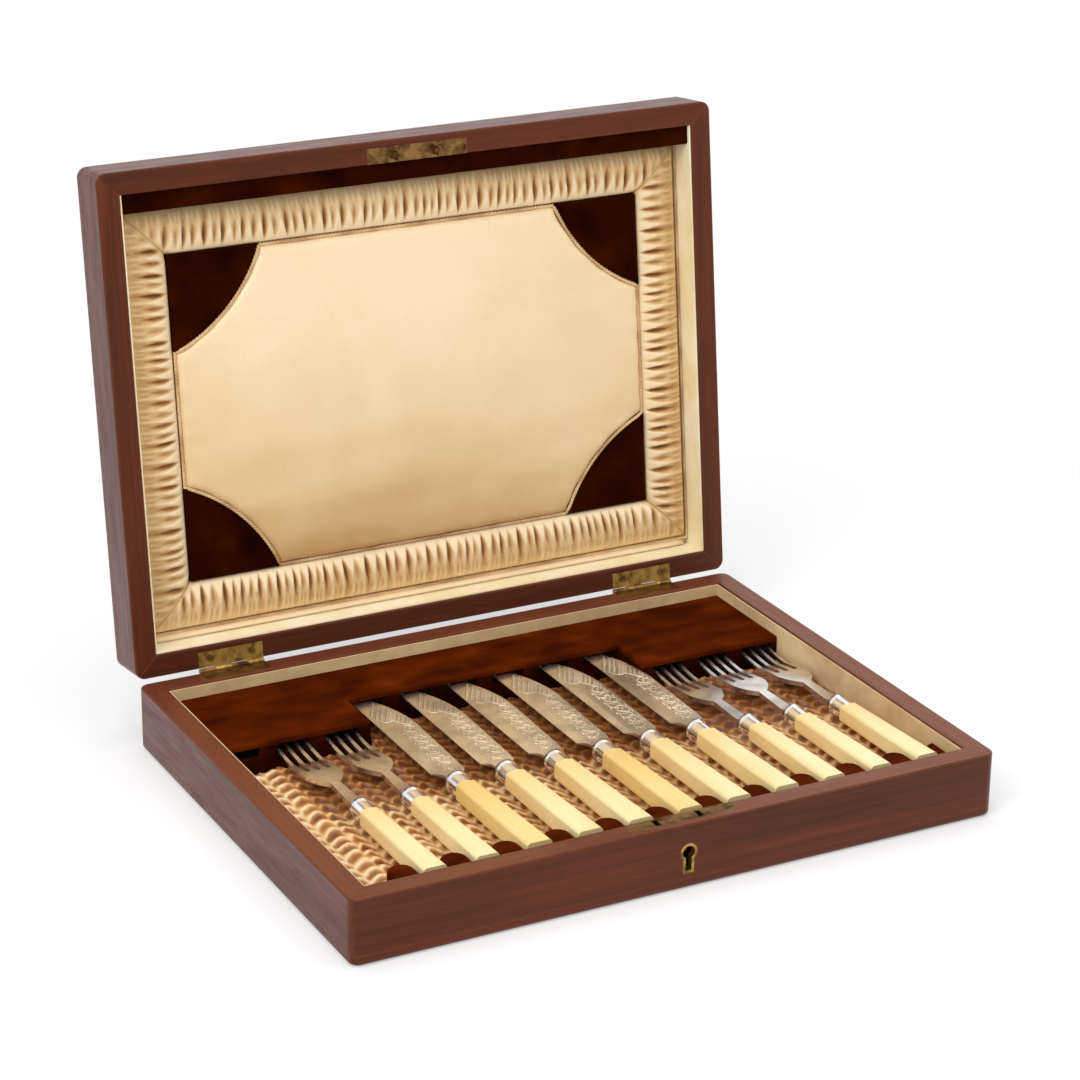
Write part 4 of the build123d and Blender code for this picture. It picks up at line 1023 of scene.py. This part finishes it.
# ---------------------------------------------------------------- cords and engraving by geometry nodes


def group_tree(name, inputs):
    """A geometry node group with a geometry input and output and named inputs."""
    tree = bpy.data.node_groups.new(name, "GeometryNodeTree")
    tree.interface.new_socket("Geometry", in_out="INPUT", socket_type="NodeSocketGeometry")
    for label, kind, value in inputs:
        socket = tree.interface.new_socket(label, in_out="INPUT", socket_type=kind)
        if value is not None:
            socket.default_value = value
    tree.interface.new_socket("Geometry", in_out="OUTPUT", socket_type="NodeSocketGeometry")
    return tree, tree.nodes.new("NodeGroupInput"), tree.nodes.new("NodeGroupOutput")


def run_tree(name, data, tree, values):
    """Runs a tree on a curve or mesh with its named inputs set, and gives back the plain mesh."""
    carrier = bpy.data.objects.new(name + "_path", data)
    bpy.context.scene.collection.objects.link(carrier)
    modifier = carrier.modifiers.new("tree", "NODES")
    modifier.node_group = tree
    for item in tree.interface.items_tree:
        if item.item_type == "SOCKET" and item.in_out == "INPUT" and item.name in values:
            modifier[item.identifier] = values[item.name]
    graph = bpy.context.evaluated_depsgraph_get()
    mesh = bpy.data.meshes.new_from_object(carrier.evaluated_get(graph), depsgraph=graph)
    mesh.name = name
    bpy.data.objects.remove(carrier)
    return mesh


def twisted_cord_tree():
    """Lays strands in a helix round a path: each strand follows the path and turns round its tangent."""
    inputs = (
        ("Thickness", "NodeSocketFloat", 0.0025),
        ("Lay", "NodeSocketFloat", 0.0045),
        ("Step", "NodeSocketFloat", 0.0005),
        ("Material", "NodeSocketMaterial", None),
    )
    tree, given, result = group_tree("twisted_cord", inputs)
    resampled = add_node(
        tree, "GeometryNodeResampleCurve", {"Curve": given.outputs["Geometry"], "Length": given.outputs["Step"]},
        mode="LENGTH",
    )
    upright = add_node(tree, "GeometryNodeSetCurveNormal", {"Curve": resampled.outputs["Curve"]})
    if hasattr(upright, "mode"):
        upright.mode = "Z_UP"
    length = add_node(tree, "GeometryNodeSplineParameter").outputs["Length"]
    tangent = add_node(tree, "GeometryNodeInputTangent").outputs["Tangent"]
    normal = add_node(tree, "GeometryNodeInputNormal").outputs["Normal"]
    turns = maths(tree, "DIVIDE", length, given.outputs["Lay"])
    angle = maths(tree, "MULTIPLY", turns, 2 * math.pi)
    reach = maths(tree, "MULTIPLY", given.outputs["Thickness"], 0.25)
    circle = add_node(
        tree, "GeometryNodeCurvePrimitiveCircle",
        {"Resolution": 7, "Radius": maths(tree, "MULTIPLY", given.outputs["Thickness"], 0.27)},
    )
    strands = add_node(tree, "GeometryNodeJoinGeometry")
    for number in range(2):
        turned = maths(tree, "ADD", angle, number * math.pi)
        offset = add_node(
            tree, "ShaderNodeVectorRotate", {"Vector": normal, "Axis": tangent, "Angle": turned},
            rotation_type="AXIS_ANGLE",
        )
        scaled = add_node(
            tree, "ShaderNodeVectorMath", {0: offset.outputs["Vector"], "Scale": reach}, operation="SCALE"
        )
        moved = add_node(
            tree, "GeometryNodeSetPosition", {"Geometry": upright.outputs[0], "Offset": scaled.outputs["Vector"]}
        )
        tube = add_node(
            tree, "GeometryNodeCurveToMesh",
            {"Curve": moved.outputs["Geometry"], "Profile Curve": circle.outputs["Curve"], "Fill Caps": True},
        )
        tree.links.new(tube.outputs["Mesh"], strands.inputs["Geometry"])
    realised = add_node(tree, "GeometryNodeRealizeInstances", {"Geometry": strands.outputs["Geometry"]})
    painted = add_node(
        tree, "GeometryNodeSetMaterial",
        {"Geometry": realised.outputs["Geometry"], "Material": given.outputs["Material"]},
    )
    tree.links.new(painted.outputs["Geometry"], result.inputs["Geometry"])
    return tree


def poly_curve(name, runs, cyclic, radii=None):
    """Curve data in metres from runs of (x, y, z) points in millimetres."""
    curve = bpy.data.curves.new(name, "CURVE")
    curve.dimensions = "3D"
    for number, points in enumerate(runs):
        spline = curve.splines.new("POLY")
        spline.points.add(len(points) - 1)
        for index, (x, y, z) in enumerate(points):
            spline.points[index].co = (x * MM, y * MM, z * MM, 1.0)
            if radii is not None:
                spline.points[index].radius = radii[number][index]
        spline.use_cyclic_u = cyclic
    return curve


class ChestCords(bpy.types.Operator):
    """Lays twisted silk cord round the lid's panel and along the ruffle's outer edges"""

    bl_idname = "chest.cords"
    bl_label = "Twisted cords"

    def execute(self, context):
        settings = context.scene.chest_panel
        outline = PanelOutline(settings)
        tree = twisted_cord_tree()
        silk = finish("twisted_silk_cord", twisted_silk, "#BC8E56", "#E8C692")
        thick = settings.cord
        thin = settings.edge_cord
        ring = []
        for x, y in outline.ring(thick / 2, 2.0):
            # It lies low along the straight sides and climbs onto the velvet at the corners.
            to_side = min(outline.half_width - abs(x), outline.half_depth - abs(y - outline.middle_y)) - thick / 2
            climb = min(1.0, max(0.0, to_side / 3.0))
            ring.append((x, y, settings.edge_height - 2.2 + (settings.corner_height - settings.edge_height + 2.3) * climb))
        panel_path = poly_curve("panel_path", [ring], True)
        values = {"Thickness": thick * MM, "Lay": 3.8 * MM, "Step": 0.45 * MM, "Material": silk}
        shell = bmesh.new()
        shell.from_mesh(run_tree("panel_cord", panel_path, tree, values))
        side = trim_high.x - thin / 2
        rear = trim_high.y - thin / 2
        level = 4.4
        edge = [(-side, trim_low.y + 1, level), (-side, rear, level), (side, rear, level), (side, trim_low.y + 1, level)]
        values = {"Thickness": thin * MM, "Lay": 3.4 * MM, "Step": 0.42 * MM, "Material": silk}
        shell.from_mesh(run_tree("edge_cord", poly_curve("edge_path", [edge], False), tree, values))
        bmesh.ops.transform(shell, matrix=Matrix.Scale(1 / MM, 4), verts=shell.verts)
        mesh = soft_mesh("twisted_lid_cords", shell, LID_FACE)
        add_piece("twisted_lid_cords", mesh, "lid", silk, ("lid_cord_trims",))
        return {"FINISHED"}


# ---------------------------------------------------------------- cutlery


class ChestCutlery(bpy.types.Operator):
    """Gives the knives and forks their celluloid handles, silver collars and plated metal"""

    bl_idname = "chest.cutlery"
    bl_label = "Knives and forks"

    def execute(self, context):
        tones = context.scene.chest_finish
        front = min(box_mm(name)[0].y for name in frame["nodes"] if name.endswith("_handle")) * MM
        colours = (tones.ivory_deep, tones.ivory_middle, tones.ivory_pale)
        ivory = finish("ivory_celluloid", ivory_celluloid, *colours, front)
        aged = finish("aged_celluloid", ivory_celluloid, "#D0AA58", "#EAC470", "#FADF98", front)
        for name in sorted(frame["nodes"]):
            if name.endswith("_handle"):
                dress((name,), aged if name in ("knife_1_handle", "knife_4_handle") else ivory, 28)
            if name.endswith(("_blade", "_head")):
                kind = "plated_knife" if name.endswith("_blade") else "plated_fork"
                collar_end = (box_mm(name)[0].y + 10.5) * MM
                dress((name,), finish(kind, silver_plate, "#B4AEA4", "#EAE6E0", 0.24, collar_end), 32)
        return {"FINISHED"}


class ChestEngraving(bpy.types.Operator):
    """Cuts a running scroll along the back of each knife blade"""

    bl_idname = "chest.engraving"
    bl_label = "Engraved blades"

    def execute(self, context):
        settings = context.scene.chest_engraving
        tree = self.cut_tree()
        cut = finish("frosted_cut_silver", silver_plate, "#A89A80", "#DCD0B8", 0.5)
        for name in sorted(frame["nodes"]):
            if not name.endswith("_blade"):
                continue
            low, high = box_mm(name)
            body = name.replace("_blade", "")
            bay = context.scene.chest_floor.bay_pitch
            axis_x = (math.floor(((low.x + high.x) / 2) / bay) + 0.5) * bay
            ferrule_end = low.y + 10.5
            top = self.blade_top(name)
            runs, radii = self.scrolls(settings, axis_x, ferrule_end, top)
            for line in self.tip_lines(settings, axis_x, ferrule_end, top):
                runs.append(line)
                swell = 0.4 if line[0][0] < line[-1][0] - 12.0 else 1.0
                radii.append([0.5 + swell * math.sin(math.pi * (index + 0.5) / len(line)) for index in range(len(line))])
            path = poly_curve("scroll_path", runs, False, radii)
            values = {"Width": settings.cut_width * MM, "Material": cut}
            mesh = run_tree(body + "_engraving", path, tree, values)
            add_piece(body + "_engraving", mesh, body, cut)
        return {"FINISHED"}

    def blade_top(self, name):
        """Height of the blade's flat face, taken a little behind the ferrule's end."""
        low, high = box_mm(name)
        tops = [v.co.z for v in frame["nodes"][name].data.vertices if v.co.y > (low.y + 40) * MM]
        return max(tops) / MM

    def tip_lines(self, settings, axis_x, start_y, top):
        """A cusped line across the blade, and flutes that slant from it to the back of the tip."""
        border = []
        for share in steps(0.0, 1.0, 0.04):
            across = -6.4 + 15.8 * share
            dip = 4.0 * abs(math.sin(2 * math.pi * min(share, 0.5))) if share < 0.5 else 2.5 * math.sin(math.pi * (2 * share - 1))
            border.append((across, settings.cusp + 5.0 - 14.0 * share - dip))
        lines = [border]
        starts = [(-6.6, y) for y in steps(settings.cusp + 24.0, settings.cusp + 8.0, 3.2)] + border
        for number in range(settings.flutes):
            x, y = starts[round(number * (len(starts) - 1) / (settings.flutes - 0.5))]
            line = [(x, y)]
            while y < 101.0:
                x, y = x + 0.47, y + 0.88
                back = 10.6 - 14.4 * max(0.0, (y - 63.0) / 42.0) ** 2.08
                if x > back - 1.0:
                    break
                line.append((x, y))
            if len(line) > 3:
                lines.append(line)
        # The blade is ground thinner over the 4 mm next to its edge.
        return [[(axis_x + x, start_y + y, top - 0.125 * max(0.0, -3.3 - x)) for x, y in line] for line in lines]

    def scrolls(self, settings, axis_x, start_y, top):
        """A wavy stem, with a spiral curling into each hollow and two small leaves beside it."""
        runs, radii = [], []
        half = settings.scroll_length / 2
        middle = axis_x + 4.4
        stem = []
        sway = 2.6
        first = start_y + settings.start
        last = start_y + settings.end
        for y in steps(first, last, 0.6):
            stem.append((middle + sway * math.sin(math.pi * (y - first) / half), y, top))
        runs.append(stem)
        radii.append([0.8] * len(stem))
        count = int((last - first) / half)
        for number in range(count):
            side = 1 if number % 2 == 0 else -1
            centre_y = first + (number + 0.5) * half
            centre_x = middle - side * 1.5
            spiral, widths = [], []
            for turn in range(31):
                share = turn / 30
                angle = math.pi * 0.5 * side + side * share * 2.1 * math.pi
                reach = 3.3 * (1 - share) ** 0.7 + 0.3
                spiral.append((centre_x + reach * math.sin(angle), centre_y + reach * math.cos(angle), top))
                widths.append(1.0 - 0.35 * share)
            runs.append(spiral)
            radii.append(widths)
            for lean in (-1.9, -1, 1, 1.9):
                leaf = []
                for turn in range(9):
                    share = turn / 8
                    reach = 3.0 + 2.4 * share
                    angle = lean * (0.55 + 0.5 * share)
                    leaf.append((centre_x - side * reach * math.cos(angle) * 0.9, centre_y + reach * math.sin(angle), top))
                if all(abs(x - middle) < 5.6 for x, y, z in leaf):
                    runs.append(leaf)
                    radii.append([0.4 + 0.9 * math.sin(math.pi * turn / 8) for turn in range(9)])
        return runs, radii

    def cut_tree(self):
        """Sweeps a flat tent along each line, as wide as the line's radius says."""
        inputs = (("Width", "NodeSocketFloat", 0.001), ("Material", "NodeSocketMaterial", None))
        tree, given, result = group_tree("engraved_line", inputs)
        upright = add_node(tree, "GeometryNodeSetCurveNormal", {"Curve": given.outputs["Geometry"]})
        if hasattr(upright, "mode"):
            upright.mode = "Z_UP"
        half = maths(tree, "MULTIPLY", given.outputs["Width"], 0.5)
        tent = add_node(tree, "GeometryNodeCurvePrimitiveCircle", {"Resolution": 4, "Radius": half})
        flat = add_node(tree, "ShaderNodeCombineXYZ", {"X": 1.0, "Y": 0.2, "Z": 1.0})
        squashed = add_node(
            tree, "GeometryNodeTransform", {"Geometry": tent.outputs["Curve"], "Scale": flat.outputs["Vector"]}
        )
        radius = add_node(tree, "GeometryNodeInputRadius").outputs["Radius"]
        sweep = add_node(
            tree, "GeometryNodeCurveToMesh",
            {"Curve": upright.outputs[0], "Profile Curve": squashed.outputs["Geometry"], "Fill Caps": True},
        )
        if "Scale" in sweep.inputs:
            tree.links.new(radius, sweep.inputs["Scale"])
        realised = add_node(tree, "GeometryNodeRealizeInstances", {"Geometry": sweep.outputs["Mesh"]})
        painted = add_node(
            tree, "GeometryNodeSetMaterial",
            {"Geometry": realised.outputs["Geometry"], "Material": given.outputs["Material"]},
        )
        tree.links.new(painted.outputs["Geometry"], result.inputs["Geometry"])
        return tree


# ---------------------------------------------------------------- stage


class ChestStage(bpy.types.Operator):
    """Sets the camera, a white floor and soft studio light"""

    bl_idname = "chest.stage"
    bl_label = "Studio"

    def execute(self, context):
        scene = context.scene
        self.camera(scene, scene.chest_stage)
        self.floor()
        self.light("window_left", (-1.6, -0.9, 1.7), 1.6, 26.0)
        self.light("fill_right", (1.7, -1.4, 1.1), 1.8, 9.0)
        self.light("top_soft", (0.0, 0.2, 2.2), 1.8, 17.0)
        self.world(scene)
        scene.view_settings.view_transform = "Standard"
        return {"FINISHED"}

    def camera(self, scene, settings):
        turn = settings.azimuth
        rise = settings.elevation
        back = Vector((math.sin(turn) * math.cos(rise), -math.cos(turn) * math.cos(rise), math.sin(rise)))
        right = Vector((math.cos(turn), math.sin(turn), 0))
        up = back.cross(right)
        tilt = settings.roll
        right, up = math.cos(tilt) * right + math.sin(tilt) * up, math.cos(tilt) * up - math.sin(tilt) * right
        camera = bpy.data.objects.new("camera", bpy.data.cameras.new("camera"))
        camera.data.lens = settings.lens
        camera.data.sensor_width = 36.0
        camera.data.clip_start = 0.05
        place = Matrix((right, up, back)).transposed().to_4x4()
        place.translation = Vector(settings.target) + back * settings.distance
        camera.matrix_world = place
        scene.collection.objects.link(camera)
        scene.camera = camera

    def floor(self):
        shell = bmesh.new()
        bmesh.ops.create_grid(shell, x_segments=2, y_segments=2, size=4.0)
        mesh = bpy.data.meshes.new("studio_floor")
        shell.to_mesh(mesh)
        shell.free()
        floor = bpy.data.objects.new("studio_floor", mesh)
        floor.location.z = -0.0002
        bpy.context.scene.collection.objects.link(floor)
        material, tree, shader = new_material("white_paper")
        place = object_place(tree)
        grain = noise_value(tree, place, 60.0)
        paper = mixed(tree, grain, linear("#FCFCFC"), linear("#FFFFFF"))
        tree.links.new(paper, shader.inputs["Base Color"])
        set_sockets(shader, Roughness=0.9, Specular_IOR_Level=0.1)
        # Away from the chest the paper runs up into a lit white backdrop.
        away = add_node(tree, "ShaderNodeVectorMath", {0: place}, operation="LENGTH").outputs["Value"]
        rays = add_node(tree, "ShaderNodeLightPath")
        seen = maths(tree, "MAXIMUM", rays.outputs["Is Camera Ray"], rays.outputs["Is Transmission Ray"])
        seen = maths(tree, "MAXIMUM", seen, rays.outputs["Is Glossy Ray"])
        share = maths(tree, "MULTIPLY", seen, remap(tree, away, 0.22, 0.55, 0.35, 1.0))
        glow = add_node(tree, "ShaderNodeEmission", {"Color": linear("#FFFFFF"), "Strength": 1.0})
        blend = add_node(
            tree, "ShaderNodeMixShader", {0: share, 1: shader.outputs["BSDF"], 2: glow.outputs["Emission"]}
        )
        output = next(node for node in tree.nodes if node.type == "OUTPUT_MATERIAL")
        tree.links.new(blend.outputs["Shader"], output.inputs["Surface"])
        mesh.materials.append(material)

    def light(self, name, place, width, power):
        lamp = bpy.data.lights.new(name, "AREA")
        lamp.shape = "DISK"
        lamp.size = width
        lamp.energy = power
        holder = bpy.data.objects.new(name, lamp)
        holder.location = place
        aim = Vector((0, 0, 0.1)) - holder.location
        holder.rotation_euler = aim.to_track_quat("-Z", "Y").to_euler()
        bpy.context.scene.collection.objects.link(holder)

    def world(self, scene):
        world = bpy.data.worlds.new("studio")
        world.use_nodes = True
        scene.world = world
        tree = world.node_tree
        tree.nodes.clear()
        rays = add_node(tree, "ShaderNodeLightPath")
        seen = maths(tree, "MAXIMUM", rays.outputs["Is Camera Ray"], rays.outputs["Is Transmission Ray"])
        seen = maths(tree, "MAXIMUM", seen, rays.outputs["Is Glossy Ray"])
        strength = remap(tree, seen, 0.0, 1.0, 0.55, 1.0)
        light = add_node(tree, "ShaderNodeBackground", {"Color": linear("#FFFFFF"), "Strength": strength})
        output = add_node(tree, "ShaderNodeOutputWorld")
        tree.links.new(light.outputs["Background"], output.inputs["Surface"])


class ChestSidebar(bpy.types.Panel):
    """Lists the chest's pieces in the sidebar"""

    bl_idname = "VIEW3D_PT_chest"
    bl_label = "Silverware chest"
    bl_space_type = "VIEW_3D"
    bl_region_type = "UI"
    bl_category = "Chest"

    def draw(self, context):
        for operator in operators:
            self.layout.operator(operator.bl_idname)
        for name, group in settings_groups:
            box = self.layout.box()
            box.label(text=group.__doc__)
            for key in group.__annotations__:
                box.prop(getattr(context.scene, name), key)


settings_groups = (
    ("chest_finish", ChestFinishSettings),
    ("chest_floor", ChestFloorSettings),
    ("chest_ruffle", ChestRuffleSettings),
    ("chest_panel", ChestPanelSettings),
    ("chest_engraving", ChestEngravingSettings),
    ("chest_stage", ChestStageSettings),
)
operators = (
    ChestStage,
    ChestWood,
    ChestMetal,
    ChestVelvet,
    ChestSatinFloor,
    ChestRuffle,
    ChestPanel,
    ChestVelvetCorners,
    ChestCords,
    ChestCutlery,
    ChestEngraving,
)


def register():
    for name, group in settings_groups:
        bpy.utils.register_class(group)
        setattr(bpy.types.Scene, name, bpy.props.PointerProperty(type=group))
    for cls in operators + (ChestSidebar,):
        bpy.utils.register_class(cls)


def unregister():
    for cls in (ChestSidebar,) + operators[::-1]:
        bpy.utils.unregister_class(cls)
    for name, group in settings_groups[::-1]:
        delattr(bpy.types.Scene, name)
        bpy.utils.unregister_class(group)


def main():
    register()
    for operator in operators:
        area, name = operator.bl_idname.split(".")
        getattr(getattr(bpy.ops, area), name)()


if __name__ == "__main__":
    main()
